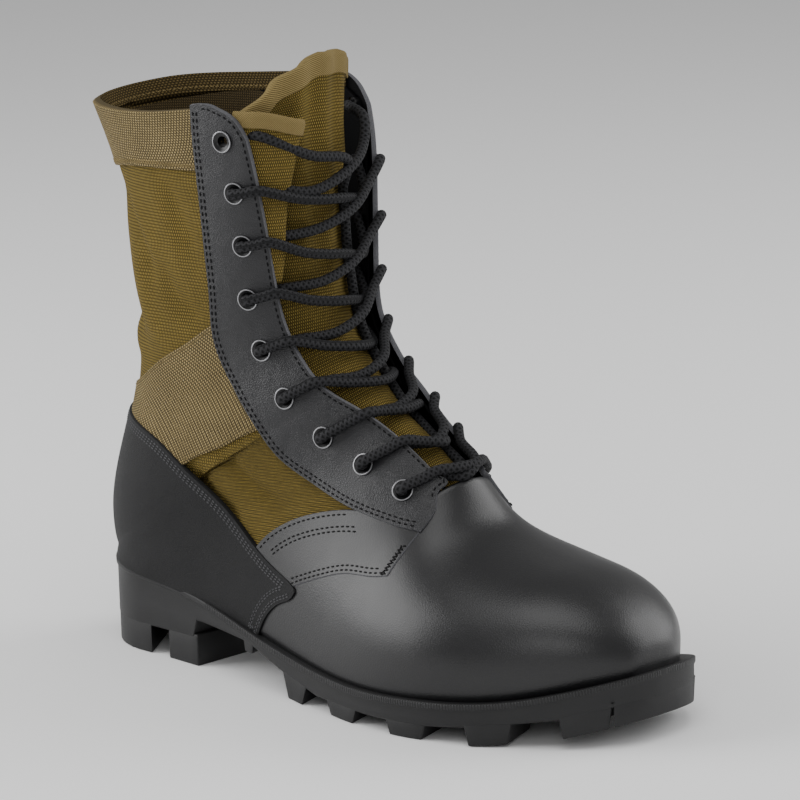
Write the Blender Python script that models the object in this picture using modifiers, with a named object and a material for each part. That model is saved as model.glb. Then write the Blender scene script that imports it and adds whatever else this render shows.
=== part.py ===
"""Jungle boot for the right foot: moulded lugged sole, hollow fabric upper, leather and webbing
overlays, tongue, eyelets and lace.

Metres, +Z up, +X to the toe, +Y to the inner side of the foot. The boot stands on z = 0 and the
origin is on the heel's tread. The upper is one family of sections between the heel and the front
line: surface(s, t, side) gives its outer face, and every overlay is a skin on that same face.
"""
import math
from collections import namedtuple

import bmesh
import bpy
import numpy as np
from mathutils import Matrix, Vector

MM = 0.001
GAP = 0.35 * MM
JOINT_GAP = 0.4 * MM

# Sole length and the ledge that shows round the upper
SOLE_BACK = -39 * MM
SOLE_TIP = 270 * MM
LEDGE_HEEL = 1.5 * MM
LEDGE_SIDE = 5.3 * MM
LEDGE_TOE = 6 * MM
LEDGE_GROWS = (0, 90 * MM)

# Rounded ends of the foot in plan, and the toe in side view
FOOT_BACK = SOLE_BACK + LEDGE_HEEL
FOOT_TIP = SOLE_TIP - LEDGE_TOE
HEEL_ROUND = 36 * MM
HEEL_POWER = 2.1
TOE_ROUND = 80 * MM
TOE_POWER = 2.25
TOE_TOP_ROUND = 44 * MM
TOE_TOP_POWER = 2.3
SWING_START = 120 * MM
SWING_TIP = 11 * MM

# Thicknesses
WALL = 2 * MM
VAMP_THICK = 1.4 * MM
COUNTER_THICK = 2.0 * MM
WING_THICK = 1.7 * MM
EYESTAY_THICK = 1.8 * MM
WEBBING_THICK = 1.2 * MM
TONGUE_THICK = 2.4 * MM
INSOLE_THICK = 3 * MM
INSOLE_INSET = 3.6 * MM
INSOLE_SHARE = 0.90
SEAT = 1.5 * MM

# Feather line, mm: half width to the outer and inner side, and height above the floor
Plan = namedtuple("Plan", "x outer inner height")
PLAN = [
    Plan(-38, 32.5, 33.5, 38.0),
    Plan(0, 34.5, 33.5, 35.5),
    Plan(40, 35, 31.5, 30.5),
    Plan(80, 39, 31, 22.5),
    Plan(120, 46, 34, 16.5),
    Plan(160, 53.5, 41, 14.5),
    Plan(190, 53.5, 46.5, 15.5),
    Plan(225, 46, 49.5, 18.0),
    Plan(262, 37, 50, 27.0),
]

# Sections, mm. s is 0 at the collar and 1 at the toe. Up to HEEL_S a section closes at the back of
# the boot, and past it both ends stand on the feather line. middle is the share of the depth where
# a section is widest, lower and upper are the powers of its two halves, ridge moves its front
# inward and tilt raises its inner side.
HEEL_S = 0.40
Section = namedtuple("Section", "s base_x base_z front_x front_z outer inner middle lower upper ridge tilt")
SECTIONS = [
    Section(0.00, -39.0, 243, 107, 262, 43, 43, 0.48, 2.1, 2.7, 0, 0.09),
    Section(0.07, -26.0, 216, 104, 236, 42, 42, 0.48, 2.1, 2.7, 0, 0.07),
    Section(0.14, -22.0, 185, 101, 208, 41, 41, 0.48, 2.1, 2.7, 0, 0.04),
    Section(0.21, -18.0, 151, 101, 183, 40, 40, 0.46, 2.1, 2.6, 0, 0.02),
    Section(0.27, -20.0, 121, 107, 164, 38, 38, 0.44, 2.1, 2.4, 0, 0),
    Section(0.31, -29.0, 96, 115, 156, 37, 37, 0.42, 2.1, 2.4, 0, 0),
    Section(0.36, -39.5, 60, 124, 149, 39, 39, 0.38, 2.1, 2.3, 0, 0),
    Section(0.40, -37.5, 38, 132, 142, 39, 39, 0.36, 2.1, 2.2, 0, 0),
    Section(0.50, 14.0, None, 148, 125, 37, 34, 0.32, 2.2, 2.0, 1, 0),
    Section(0.60, 68.0, None, 163, 107, 41, 36, 0.30, 2.2, 2.0, 2, 0),
    Section(0.70, 125.0, None, 176, 88, 50, 42, 0.28, 2.3, 2.0, 3, 0),
    Section(0.80, 183.0, None, 193, 74, 57, 50, 0.28, 2.3, 2.1, 3, 0),
    Section(0.90, 236.0, None, 236, 64, 49, 53, 0.34, 2.3, 2.2, 2, 0),
    Section(1.00, 264.0, None, 264, 62, 40, 50, 0.40, 2.3, 2.3, 0, 0),
]
WIDEST_SHARE = 0.985

# Where the skin's rows lie along s, closer together at the heel and the tip of the toe
S_ROWS = [
    0, 0.045, 0.09, 0.14, 0.19, 0.235, 0.27, 0.30, 0.33, 0.365, 0.40, 0.407, 0.42, 0.445, 0.48,
    0.52, 0.57, 0.62, 0.67, 0.72, 0.77, 0.815, 0.855, 0.895, 0.93, 0.96, 0.982, 0.995, 1.0,
]
T_STEPS = 10
NORMAL_SMOOTHING = 3

# The throat, mm: the middle of the line between its two edges, half the opening, and how far its
# middle lies to the inner side
Throat = namedtuple("Throat", "x z half middle")
THROAT = [
    Throat(175, 93, 5, 2),
    Throat(172, 96, 10, 2),
    Throat(163, 104, 13.5, 1.5),
    Throat(145, 115, 14, 1),
    Throat(126, 125, 19, 0),
    Throat(110, 137, 25, 0),
    Throat(96.5, 152, 27, 0),
    Throat(90, 170, 28.5, 0),
    Throat(87.5, 195, 30.5, 0),
    Throat(88, 217, 34, 0),
    Throat(85.5, 242, 36, 0),
    Throat(84, 250, 38, 0),
    Throat(80, 256, 41, 0),
    Throat(76, 275, 44, 0),
]
THROAT_IN = 22 * MM
THROAT_OUT = 60 * MM

# Eyelets, from the top down, by their place on the form
Eyelet = namedtuple("Eyelet", "s t")
EYELETS = [
    Eyelet(0.040, 0.631),
    Eyelet(0.100, 0.656),
    Eyelet(0.160, 0.678),
    Eyelet(0.223, 0.683),
    Eyelet(0.290, 0.690),
    Eyelet(0.372, 0.728),
    Eyelet(0.458, 0.610),
    Eyelet(0.540, 0.640),
    Eyelet(0.615, 0.705),
]
HOLE_RADIUS = 3.6 * MM
BARREL_RADIUS = 3.0 * MM
BORE_RADIUS = 2.4 * MM
FLANGE_RADIUS = 4.9 * MM
FLANGE_THICK = 0.7 * MM
EYELET_LIFT = 0.55 * MM
EYELET_SIDES = 6
LACE_RADIUS = 2.1 * MM
LACE_CLEAR = 0.4 * MM
LACE_EDGE = 7.0 * MM
LACE_AHEAD = 6 * MM
BAR_OUTER = 3
BAR_INNER = 4

# Tongue, mm: places on the throat's middle line, half width, and how far the tongue's middle and
# edges stand in front of that line
TongueRow = namedtuple("TongueRow", "x z half crown edge middle")
TONGUE = [
    TongueRow(188, 77, 14, -4.5, -10, 3.5),
    TongueRow(176, 91, 18, -5, -14, 2.5),
    TongueRow(163, 104, 20, -4, -18, 1),
    TongueRow(145, 115, 19.5, -2, -18, 0.5),
    TongueRow(126, 125, 20, -1, -13.5, 0),
    TongueRow(110, 137, 23.5, 0, -11, 0),
    TongueRow(96.5, 152, 25.5, 0, -10, 0),
    TongueRow(90, 170, 27, 0, -10, 0),
    TongueRow(87.5, 195, 29, 0, -10, 0),
    TongueRow(88, 217, 32, 0, -10, 0),
    TongueRow(86.5, 242, 34, 0, -10, 0),
]
TONGUE_COLUMNS = 8

# The tongue's top edge, mm: place across the boot and height
TONGUE_TOP = [(-34, 254), (-28, 261), (-21, 267), (-10, 273), (0, 277), (15, 276), (27, 271), (34, 266)]

# Outlines of the overlays in side view, mm, x then z
EYESTAY = [
    (54, 280), (54, 239), (55, 222), (56, 204), (57, 186), (57.5, 169), (57, 156), (60, 142), (67, 130),
    (78, 116), (90, 101.5), (107, 90), (127, 82), (146, 76), (166, 68.5), (168.5, 70), (170, 80),
    (169, 92), (165, 102), (178, 118), (150, 150), (130, 190), (130, 280),
]
COUNTER = [
    (-70, 110), (-34, 111), (-11, 108), (20, 101), (38, 91), (56, 80), (76, 65), (96, 54), (107, 50.5),
    (109.5, 48.5), (109, 45), (100, 41), (92, 36), (86, 29), (81, 20), (80, 5), (-70, 5),
]
WING = [
    (76, 55), (83, 63), (90, 68), (99, 73), (116, 80), (132, 84), (160, 82), (169, 78), (168, 70),
    (165, 66.5), (161, 63), (157, 61.5), (140, 60), (125, 56), (109, 50), (95, 45),
]
STRAP = [
    (-70, 117), (-34, 117), (-16, 120), (5, 128), (20, 137), (39, 147), (57, 157), (80, 168),
    (110, 130), (81, 114), (56, 102), (40, 95), (30, 80), (-70, 80),
]
COLLAR = [(-80, 213), (-40, 216), (0, 222), (24, 225), (80, 228), (80, 290), (-80, 290)]
VAMP = [
    (70, 5), (78, 30), (95, 46), (110, 62), (130, 70), (150, 73), (160, 80), (163, 100), (166, 115),
    (180, 140), (300, 140), (300, 5),
]
HALF_REACH = 90 * MM
SIDE_FROM = 3 * MM

# Underside of the sole between its lugs, mm
Core = namedtuple("Core", "x z")
CORE = [
    Core(-39, 12.5),
    Core(35, 12.5),
    Core(37, 21),
    Core(75, 19),
    Core(100, 11.5),
    Core(127, 6),
    Core(168, 5.5),
    Core(190, 6),
    Core(210, 7.5),
    Core(245, 12.5),
    Core(270, 20),
]
SPRING_START = 205 * MM
SPRING_TIP = 11.5 * MM
LIP_HEIGHT = 2.6 * MM
LIP_STEP = 0.9 * MM
LUG_INSET = 0.25 * MM
LUG_SINK = 2 * MM
SOLE_STEPS = 26

# Side lugs, mm: where the lug starts and ends along the edge, how far it reaches inward as a share
# of the half width, how far its inner end lies back, and how much shorter it is at the floor
Lug = namedtuple("Lug", "start end reach rake taper bottom")
SIDE_LUGS = [
    Lug(72, 80, 0.35, 4, 1.0, 14.5),
    Lug(101, 120, 0.62, 10, 3.5, 0),
    Lug(134, 156, 0.62, 10, 3.0, 0),
    Lug(173, 195, 0.62, 10, 3.0, 0),
    Lug(211, 230, 0.60, 10, 3.0, None),
    Lug(246, 262, 0.55, 8, 2.0, None),
]
CENTRE_LUGS = [
    Lug(116, 130, 0.30, 9, 1.5, 0),
    Lug(153, 167, 0.30, 9, 1.5, 0),
    Lug(191, 205, 0.30, 9, 1.5, 0),
    Lug(227, 239, 0.28, 8, 1.5, None),
]
TIP_LUG = Lug(262, 269.4, 0.5, 0, 0, None)
HEEL_REAR = (-38.6, 4.5)
HEEL_FRONT = (16.5, 36.8)
HEEL_RAKE = 25

# Colours, roughness
LEATHER = ("leather_black", (0.018, 0.018, 0.020), 0.42)
COUNTER_LEATHER = ("leather_matt", (0.012, 0.012, 0.013), 0.62)
NYLON = ("nylon_olive", (0.125, 0.088, 0.018), 0.72)
WEBBING = ("webbing_khaki", (0.140, 0.112, 0.048), 0.85)
RUBBER = ("rubber_black", (0.012, 0.012, 0.013), 0.55)
SOCK = ("sock_fabric", (0.050, 0.045, 0.030), 0.90)
BRASS_BLACK = ("eyelet_metal", (0.030, 0.030, 0.032), 0.35)
LACE_CORD = ("lace_black", (0.012, 0.012, 0.012), 0.85)


def spline(knots, values, at):
    """A natural cubic through values at knots, read at each of at."""
    knots = np.asarray(knots, float)
    values = np.asarray(values, float)
    count = len(knots)
    gap = np.diff(knots)
    matrix = np.zeros((count, count))
    right = np.zeros(count)
    matrix[0, 0] = 1
    matrix[-1, -1] = 1
    for i in range(1, count - 1):
        matrix[i, i - 1:i + 2] = gap[i - 1], 2 * (gap[i - 1] + gap[i]), gap[i]
        right[i] = 6 * ((values[i + 1] - values[i]) / gap[i] - (values[i] - values[i - 1]) / gap[i - 1])
    bend = np.linalg.solve(matrix, right)
    at = np.asarray(at, float)
    i = np.clip(np.searchsorted(knots, at) - 1, 0, count - 2)
    after = knots[i + 1] - at
    before = at - knots[i]
    step = gap[i]
    curved = (bend[i] * after ** 3 + bend[i + 1] * before ** 3) / (6 * step)
    start = (values[i] / step - bend[i] * step / 6) * after
    end = (values[i + 1] / step - bend[i + 1] * step / 6) * before
    return curved + start + end


def column(rows, name):
    return [getattr(row, name) for row in rows]


def smooth(value, start, end):
    """0 before start, 1 after end, with an eased rise between."""
    share = np.clip((np.asarray(value, float) - start) / (end - start), 0, 1)
    return share * share * (3 - 2 * share)


def plan(name, x):
    x = np.clip(np.asarray(x, float), SOLE_BACK, SOLE_TIP)
    return spline(column(PLAN, "x"), column(PLAN, name), x / MM) * MM


def round_end(x, start, end, power):
    """1 up to start, then down a rounded end to 0 at end."""
    reach = np.clip((np.asarray(x, float) - start) / (end - start), 0, 1)
    return (1 - reach ** power) ** (1 / power)


def half_width(x, side):
    """The feather line's half width on one side, rounded at heel and toe."""
    name = "inner" if side > 0 else "outer"
    heel = round_end(x, FOOT_BACK + HEEL_ROUND, FOOT_BACK, HEEL_POWER)
    toe = round_end(x, FOOT_TIP - TOE_ROUND, FOOT_TIP, TOE_POWER)
    return plan(name, x) * heel * toe


def swing(x):
    """How far the foot's middle line has turned inward at x."""
    along = np.clip((np.asarray(x, float) - SWING_START) / (SOLE_TIP - SWING_START), 0, 1.1)
    return SWING_TIP * along ** 1.5


def section_value(name, s):
    rows = [row for row in SECTIONS if getattr(row, name) is not None]
    return spline(column(rows, "s"), column(rows, name), s)


def bottom_x(s):
    rows = [row for row in SECTIONS if row.s >= HEEL_S]
    x = spline(column(rows, "s"), column(rows, "base_x"), s) * MM
    return np.clip(np.where(s < HEEL_S, FOOT_BACK, x), FOOT_BACK, FOOT_TIP)


def back_point(s):
    """Where a section starts: on the back line, or on the sole past the heel."""
    rows = [row for row in SECTIONS if row.s <= HEEL_S]
    knots = column(rows, "s")
    foot_x = bottom_x(s)
    x = np.where(s <= HEEL_S, spline(knots, column(rows, "base_x"), s) * MM, foot_x)
    z = np.where(s <= HEEL_S, spline(knots, column(rows, "base_z"), s) * MM, plan("height", foot_x))
    return x, z


def front_point(s):
    """Where a section ends: on the front line, over the vamp and down the toe."""
    x = np.minimum(section_value("front_x", s) * MM, FOOT_TIP)
    z = section_value("front_z", s) * MM
    floor = plan("height", x)
    rounding = round_end(x, FOOT_TIP - TOE_TOP_ROUND, FOOT_TIP, TOE_TOP_POWER)
    return x, np.where(x > FOOT_TIP - TOE_TOP_ROUND, floor + (z - floor) * rounding, z)


def surface(s, t, side):
    """The upper's outer face. t is 0 at the back line or the sole and 1 on the front line."""
    s, t = np.broadcast_arrays(np.asarray(s, float), np.asarray(t, float))
    back_x, back_z = back_point(s)
    front_x, front_z = front_point(s)
    toe = round_end(bottom_x(s), FOOT_TIP - TOE_ROUND, FOOT_TIP, TOE_POWER)
    wide = section_value("inner" if side > 0 else "outer", s) * MM * toe
    lower = section_value("lower", s)
    upper = section_value("upper", s)
    middle = section_value("middle", s)
    base = np.where(s > HEEL_S, half_width(bottom_x(s), side), 0)
    share = np.clip(base / np.maximum(wide, 1e-9), 0, WIDEST_SHARE)
    start = np.arcsin(share ** (lower / 2))
    drop = middle / np.maximum(np.cos(start), 1e-6) ** (2 / lower)
    turn = start + (math.pi - start) * t
    sine = np.clip(np.sin(turn), 0, 1)
    cosine = np.cos(turn)
    is_low = turn < math.pi / 2
    across = wide * np.where(is_low, sine ** (2 / lower), sine ** (2 / upper))
    low_rise = middle - drop * np.clip(cosine, 0, 1) ** (2 / lower)
    high_rise = middle + (1 - middle) * np.clip(-cosine, 0, 1) ** (2 / upper)
    rise = np.where(is_low, low_rise, high_rise)
    x = back_x + (front_x - back_x) * rise
    y = side * across + section_value("ridge", s) * MM * np.clip(rise, 0, 1)
    y = y + np.where(s > HEEL_S, swing(bottom_x(s)), 0)
    tilt = np.where(s < HEEL_S, section_value("tilt", s), 0)
    z = back_z + (front_z - back_z) * rise + y * tilt
    return np.stack([x, y, z], -1)


def frame_at(s, t, side):
    """A point of the form, its outward normal, and the direction toward the collar."""
    step = 0.002
    point = surface(s, t, side)
    along = surface(s + step, t, side) - surface(s - step, t, side)
    across = surface(s, t + step, side) - surface(s, t - step, side)
    normal = Vector(np.cross(across, along)) * side
    normal.normalize()
    up = -Vector(along)
    up = (up - normal * up.dot(normal)).normalized()
    return Vector(point), normal, up


def material(look):
    name, colour, roughness = look
    found = bpy.data.materials.get(name)
    if found:
        return found
    made = bpy.data.materials.new(name)
    made.use_nodes = True
    shader = made.node_tree.nodes["Principled BSDF"]
    shader.inputs["Base Color"].default_value = (*colour, 1)
    shader.inputs["Roughness"].default_value = roughness
    shader.inputs["Metallic"].default_value = 0.6 if look is BRASS_BLACK else 0
    return made


def add_object(name, mesh, look, group):
    piece = bpy.data.objects.new(name, mesh)
    group.objects.link(piece)
    if look:
        mesh.materials.append(material(look))
    return piece


def finished_mesh(name, bm):
    bmesh.ops.recalc_face_normals(bm, faces=bm.faces)
    mesh = bpy.data.meshes.new(name)
    bm.to_mesh(mesh)
    bm.free()
    return mesh


def grid(rows, closed=False):
    """Triangles between rows of points, welded where points meet."""
    bm = bmesh.new()
    made = [[bm.verts.new(point) for point in row] for row in rows]
    for row, following in zip(made, made[1:]):
        pairs = list(zip(row, row[1:], following[1:], following))
        if closed:
            pairs.append((row[-1], row[0], following[0], following[-1]))
        for corners in pairs:
            bm.faces.new(corners)
    bmesh.ops.remove_doubles(bm, verts=bm.verts, dist=0.02 * MM)
    bmesh.ops.triangulate(bm, faces=bm.faces, quad_method="SHORT_EDGE")
    bmesh.ops.recalc_face_normals(bm, faces=bm.faces)
    bm.normal_update()
    return bm


def smoothed_normals(bm):
    """Vertex normals, averaged with their neighbours so that an offset never folds."""
    normals = {vert: vert.normal.copy() for vert in bm.verts}
    for turn in range(NORMAL_SMOOTHING):
        averaged = {}
        for vert in bm.verts:
            total = normals[vert] * 2
            for edge in vert.link_edges:
                total = total + normals[edge.other_vert(vert)]
            averaged[vert] = total.normalized()
        normals = averaged
    return normals


def wall_between(bm, near, far):
    """Turn an open sheet into a closed wall between two offsets from it."""
    normals = smoothed_normals(bm)
    sheet = list(bm.faces)
    rim = [edge.verts[:] for edge in bm.edges if edge.is_boundary]
    outer = {vert: bm.verts.new(vert.co + normals[vert] * far) for vert in normals}
    for face in sheet:
        bm.faces.new([outer[vert] for vert in face.verts])
    for first, second in rim:
        bm.faces.new((first, second, outer[second], outer[first]))
    for vert, normal in normals.items():
        vert.co += normal * near


def skin_rows():
    """Rows of points over the whole form, from the outer side over the front to the inner."""
    t_values = np.linspace(0, 1, T_STEPS + 1)
    rows = []
    for s in S_ROWS:
        outer = surface(np.full(len(t_values), float(s)), t_values, -1)
        inner = surface(np.full(len(t_values), float(s)), t_values, 1)
        rows.append(list(outer) + list(inner[::-1][1:]))
    return rows


def skin(name, near, far, look, group):
    """A closed wall along the form, between two offsets from its face."""
    bm = grid(skin_rows())
    wall_between(bm, near, far)
    return add_object(name, finished_mesh(name, bm), look, group)


def prism(name, outline, y_low, y_high, group):
    """An outline in side view, in mm, extruded across the boot. Used to cut."""
    bm = bmesh.new()
    verts = [bm.verts.new((x * MM, y_low, z * MM)) for x, z in outline]
    face = bm.faces.new(verts)
    made = bmesh.ops.extrude_face_region(bm, geom=[face])
    for vert in made["geom"]:
        if isinstance(vert, bmesh.types.BMVert):
            vert.co.y = y_high
    return cutter(name, finished_mesh(name, bm), group)


def cutter(name, mesh, group):
    piece = add_object(name, mesh, None, group)
    piece.hide_render = True
    piece.display_type = "WIRE"
    return piece


def grown(outline, by):
    """An outline moved outward by a distance in mm."""
    count = len(outline)
    area = sum(outline[i - 1][0] * outline[i][1] - outline[i][0] * outline[i - 1][1] for i in range(count))
    turn = 1 if area > 0 else -1
    moved = []
    for i in range(count):
        before = Vector(outline[i]) - Vector(outline[i - 1])
        after = Vector(outline[(i + 1) % count]) - Vector(outline[i])
        normals = [Vector((edge.y, -edge.x)).normalized() * turn for edge in (before, after)]
        middle = (normals[0] + normals[1]).normalized()
        reach = by / max(middle.dot(normals[0]), 0.4)
        moved.append(tuple(Vector(outline[i]) + middle * reach))
    return moved


def cut(piece, tool, operation="DIFFERENCE"):
    step = piece.modifiers.new(tool.name, "BOOLEAN")
    step.operation = operation
    step.solver = "EXACT"
    step.object = tool


def throat_frames(rows):
    """Each row's place, and the direction out of the throat, square to its line."""
    points = [Vector((row.x * MM, 0, row.z * MM)) for row in rows]
    frames = []
    for i, point in enumerate(points):
        along = points[min(i + 1, len(points) - 1)] - points[max(i - 1, 0)]
        frames.append((point, Vector((along.z, 0, -along.x)).normalized()))
    return frames


def throat_cutter(group):
    """A tapered channel along the front line that opens the throat."""
    rows = []
    for row, (point, out) in zip(THROAT, throat_frames(THROAT)):
        half = Vector((0, row.half * MM, 0))
        centre = point + Vector((0, row.middle * MM, 0))
        near = centre - out * THROAT_IN
        far = centre + out * THROAT_OUT
        rows.append([near - half, far - half, far + half, near + half])
    bm = bmesh.new()
    rings = [[bm.verts.new(point) for point in row] for row in rows]
    for ring, following in zip(rings, rings[1:]):
        for i in range(4):
            j = (i + 1) % 4
            bm.faces.new((ring[i], ring[j], following[j], following[i]))
    bm.faces.new(rings[0])
    bm.faces.new(rings[-1])
    return cutter("cut_throat", finished_mesh("cut_throat", bm), group)


def sole_space(group):
    """Everything below the top of the sole, which trims the upper and its overlays."""
    x_values = np.linspace(SOLE_BACK - 25 * MM, SOLE_TIP + 15 * MM, 48)
    top = [(x / MM, (sole_top(x) + GAP) / MM) for x in x_values]
    outline = top + [(x_values[-1] / MM, -20), (x_values[0] / MM, -20)]
    return prism("cut_sole_space", outline, -HALF_REACH, HALF_REACH, group)


def hole_cutter(side, group):
    """Nine round bars through the eyelet places of one side."""
    bm = bmesh.new()
    for place in EYELETS:
        point, normal, up = frame_at(place.s, place.t, side)
        turn = Matrix.Translation(point) @ normal.to_track_quat("Z", "Y").to_matrix().to_4x4()
        bmesh.ops.create_cone(bm, cap_ends=True, segments=EYELET_SIDES, radius1=HOLE_RADIUS,
                              radius2=HOLE_RADIUS, depth=14 * MM, matrix=turn)
    name = "cut_holes_inner" if side > 0 else "cut_holes_outer"
    return cutter(name, finished_mesh(name, bm), group)


def sole_top(x):
    return plan("height", x) + SEAT


def sole_half(x, side):
    """Half width of the sole: the feather line and the ledge round it."""
    share = (np.asarray(x, float) - SOLE_BACK) / (SOLE_TIP - SOLE_BACK)
    width = half_width(FOOT_BACK + share * (FOOT_TIP - FOOT_BACK), side)
    ledge = LEDGE_HEEL + (LEDGE_SIDE - LEDGE_HEEL) * smooth(x, *LEDGE_GROWS)
    return width + ledge * np.minimum(1, width / (25 * MM))


def core_bottom(x):
    return np.interp(np.asarray(x, float) / MM, column(CORE, "x"), column(CORE, "z")) * MM


def floor_line(x):
    """The tread's own height: flat on the floor, then up into the toe spring."""
    share = np.clip((np.asarray(x, float) - SPRING_START) / (SOLE_TIP - SPRING_START), 0, 1)
    return SPRING_TIP * share ** 2


def sole_core():
    """The sole without lugs, as cross sections with a small lip at the ledge."""
    spaced = SOLE_BACK + (SOLE_TIP - SOLE_BACK) * (1 - np.cos(np.linspace(0, math.pi, SOLE_STEPS + 1))) / 2
    corners = [row.x * MM for row in CORE[1:4]]
    kept = [x for x in spaced if all(abs(x - corner) > 3 * MM for corner in corners)]
    rows = []
    for x in sorted(kept + corners):
        outer = float(sole_half(x, -1))
        inner = float(sole_half(x, 1))
        middle = float(swing(x))
        top = float(sole_top(x))
        step = min(LIP_STEP, outer * 0.4)
        bottom = float(core_bottom(x))
        rows.append([
            (x, middle - outer, top), (x, middle - outer, top - LIP_HEIGHT),
            (x, middle - outer + step, top - LIP_HEIGHT - step), (x, middle - outer + step, bottom),
            (x, middle + inner - step, bottom), (x, middle + inner - step, top - LIP_HEIGHT - step),
            (x, middle + inner, top - LIP_HEIGHT), (x, middle + inner, top),
        ])
    return finished_mesh("outsole", grid(rows, closed=True))


def add_block(bm, top, bottom):
    """A closed block between two outlines with the same number of corners."""
    upper = [bm.verts.new(point) for point in top]
    lower = [bm.verts.new(point) for point in bottom]
    bm.faces.new(upper)
    bm.faces.new(lower)
    for i in range(len(upper)):
        j = (i + 1) % len(upper)
        bm.faces.new((upper[i], upper[j], lower[j], lower[i]))


def edge_point(x, side, share=1.0):
    """A place in plan: share 1 is at the sole's edge, 0 on its middle line."""
    half = (float(sole_half(x, side)) - LIP_STEP - LUG_INSET) * share
    return x, float(swing(x)) + side * half


def block_ends(corners, lug):
    """Top and bottom outlines of a lug from its corners in plan. Each corner has its pull in x."""
    top = []
    bottom = []
    for (x, y), pull in corners:
        top.append((x, y, float(core_bottom(x)) + LUG_SINK))
        low_x = x + pull * lug.taper * MM
        low = float(floor_line(low_x)) if lug.bottom is None else lug.bottom * MM
        bottom.append((low_x, y, low))
    return top, bottom


def add_side_lug(bm, lug, side):
    start, end = lug.start * MM, lug.end * MM
    middle = (start + end) / 2
    back = lug.rake * MM
    corners = [
        (edge_point(start, side), 1), (edge_point(middle, side), 0), (edge_point(end, side), -1),
        (edge_point(end - back, side, 1 - lug.reach), -1), (edge_point(start - back, side, 1 - lug.reach), 1),
    ]
    add_block(bm, *block_ends(corners, lug))


def add_centre_lug(bm, lug):
    """A chevron across the middle, with its point to the back."""
    start, end = lug.start * MM, lug.end * MM
    back = lug.rake * MM
    corners = [
        (edge_point(start, -1, lug.reach), 1), (edge_point(start - back, -1, 0), 1),
        (edge_point(start, 1, lug.reach), 1), (edge_point(end, 1, lug.reach), -1),
        (edge_point(end - back, 1, 0), -1), (edge_point(end, -1, lug.reach), -1),
    ]
    add_block(bm, *block_ends(corners, lug))


def add_tip_lug(bm):
    """The block at the very tip of the toe."""
    lug = TIP_LUG
    start, end = lug.start * MM, lug.end * MM
    corners = [
        (edge_point(start, -1, lug.reach), 0), (edge_point(start, 1, lug.reach), 0),
        (edge_point(end, 1), 0), (edge_point(end, -1), 0),
    ]
    add_block(bm, *block_ends(corners, lug))


def add_heel_blocks(bm):
    """Rear and front heel blocks with a raked channel between them."""
    lug = Lug(0, 0, 1, HEEL_RAKE, 0, 0)
    rear_back, rear_front = HEEL_REAR
    span = np.linspace(0, 1, 7)
    curve = rear_back + (rear_front - rear_back) * span ** 2
    outer = [(edge_point(x * MM, -1), 0) for x in curve[::-1]]
    inner = [(edge_point(x * MM, 1), 0) for x in curve]
    notch = (edge_point((rear_front - HEEL_RAKE) * MM, -1, 0), 0)
    add_block(bm, *block_ends(outer + inner[1:] + [notch], lug))
    back, front = HEEL_FRONT
    corners = [
        (edge_point(back * MM, -1), 0), (edge_point((back + front) / 2 * MM, -1), 0),
        (edge_point(front * MM, -1), 0), (edge_point(front * MM, 1), 0),
        (edge_point((back + front) / 2 * MM, 1), 0), (edge_point(back * MM, 1), 0),
        (edge_point((back - HEEL_RAKE) * MM, -1, 0), 0),
    ]
    top, bottom = block_ends(corners, lug)
    ceiling = float(core_bottom(0)) + LUG_SINK
    add_block(bm, [(x, y, ceiling) for x, y, z in top], bottom)


def make_outsole(group, cutters):
    piece = add_object("outsole", sole_core(), RUBBER, group)
    bm = bmesh.new()
    for side in (-1, 1):
        for lug in SIDE_LUGS:
            add_side_lug(bm, lug, side)
    for lug in CENTRE_LUGS:
        add_centre_lug(bm, lug)
    add_tip_lug(bm)
    add_heel_blocks(bm)
    lugs = cutter("join_lugs", finished_mesh("join_lugs", bm), cutters)
    cut(piece, lugs, "UNION")
    return piece


def make_insole(group):
    """A flat sheet on the sole, inside the upper's wall."""
    back = FOOT_BACK + INSOLE_INSET + 1.5 * MM
    tip = FOOT_TIP - INSOLE_INSET - 1.5 * MM
    rows = []
    for share in (1 - np.cos(np.linspace(0, math.pi, 17))) / 2:
        x = back + share * (tip - back)
        widths = []
        for side in (-1, 1):
            foot = FOOT_BACK + share * (FOOT_TIP - FOOT_BACK)
            width = float(half_width(foot, side)) * INSOLE_SHARE
            widths.append(max(width, 0.2 * MM))
        outer, inner = widths
        low = float(sole_top(x)) + GAP
        high = low + INSOLE_THICK
        middle = float(swing(x))
        rows.append([
            (x, middle - outer, low), (x, middle - outer, high),
            (x, middle + inner, high), (x, middle + inner, low),
        ])
    bm = bmesh.new()
    rings = [[bm.verts.new(point) for point in row] for row in rows]
    for ring, following in zip(rings, rings[1:]):
        for i in range(4):
            j = (i + 1) % 4
            bm.faces.new((ring[i], ring[j], following[j], following[i]))
    bm.faces.new(rings[0])
    bm.faces.new(rings[-1])
    return add_object("insole", finished_mesh("insole", bm), SOCK, group)


def tongue_top(y):
    return float(np.interp(y / MM, *zip(*TONGUE_TOP))) * MM


def make_tongue(group):
    """A wide sheet behind the throat, crowned forward, with its top rising to the inner side."""
    rows = []
    for row, (point, out) in zip(TONGUE, throat_frames(TONGUE)):
        points = []
        for share in np.linspace(-1, 1, TONGUE_COLUMNS + 1):
            depth = (row.crown + (row.edge - row.crown) * share ** 2) * MM
            place = point + out * depth
            points.append((place.x, (row.middle + share * row.half) * MM, place.z))
        rows.append(points)
    rows.append([(x, y, tongue_top(y)) for x, y, z in rows[-1]])
    piece = add_object("tongue", finished_mesh("tongue", grid(rows)), NYLON, group)
    solid = piece.modifiers.new("cloth", "SOLIDIFY")
    solid.thickness = TONGUE_THICK
    solid.offset = -1
    return piece


def make_upper(group, tools):
    piece = skin("upper", -WALL, 0, NYLON, group)
    for name in ("throat", "sole", "holes_outer", "holes_inner"):
        cut(piece, tools[name])
    return piece


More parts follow.
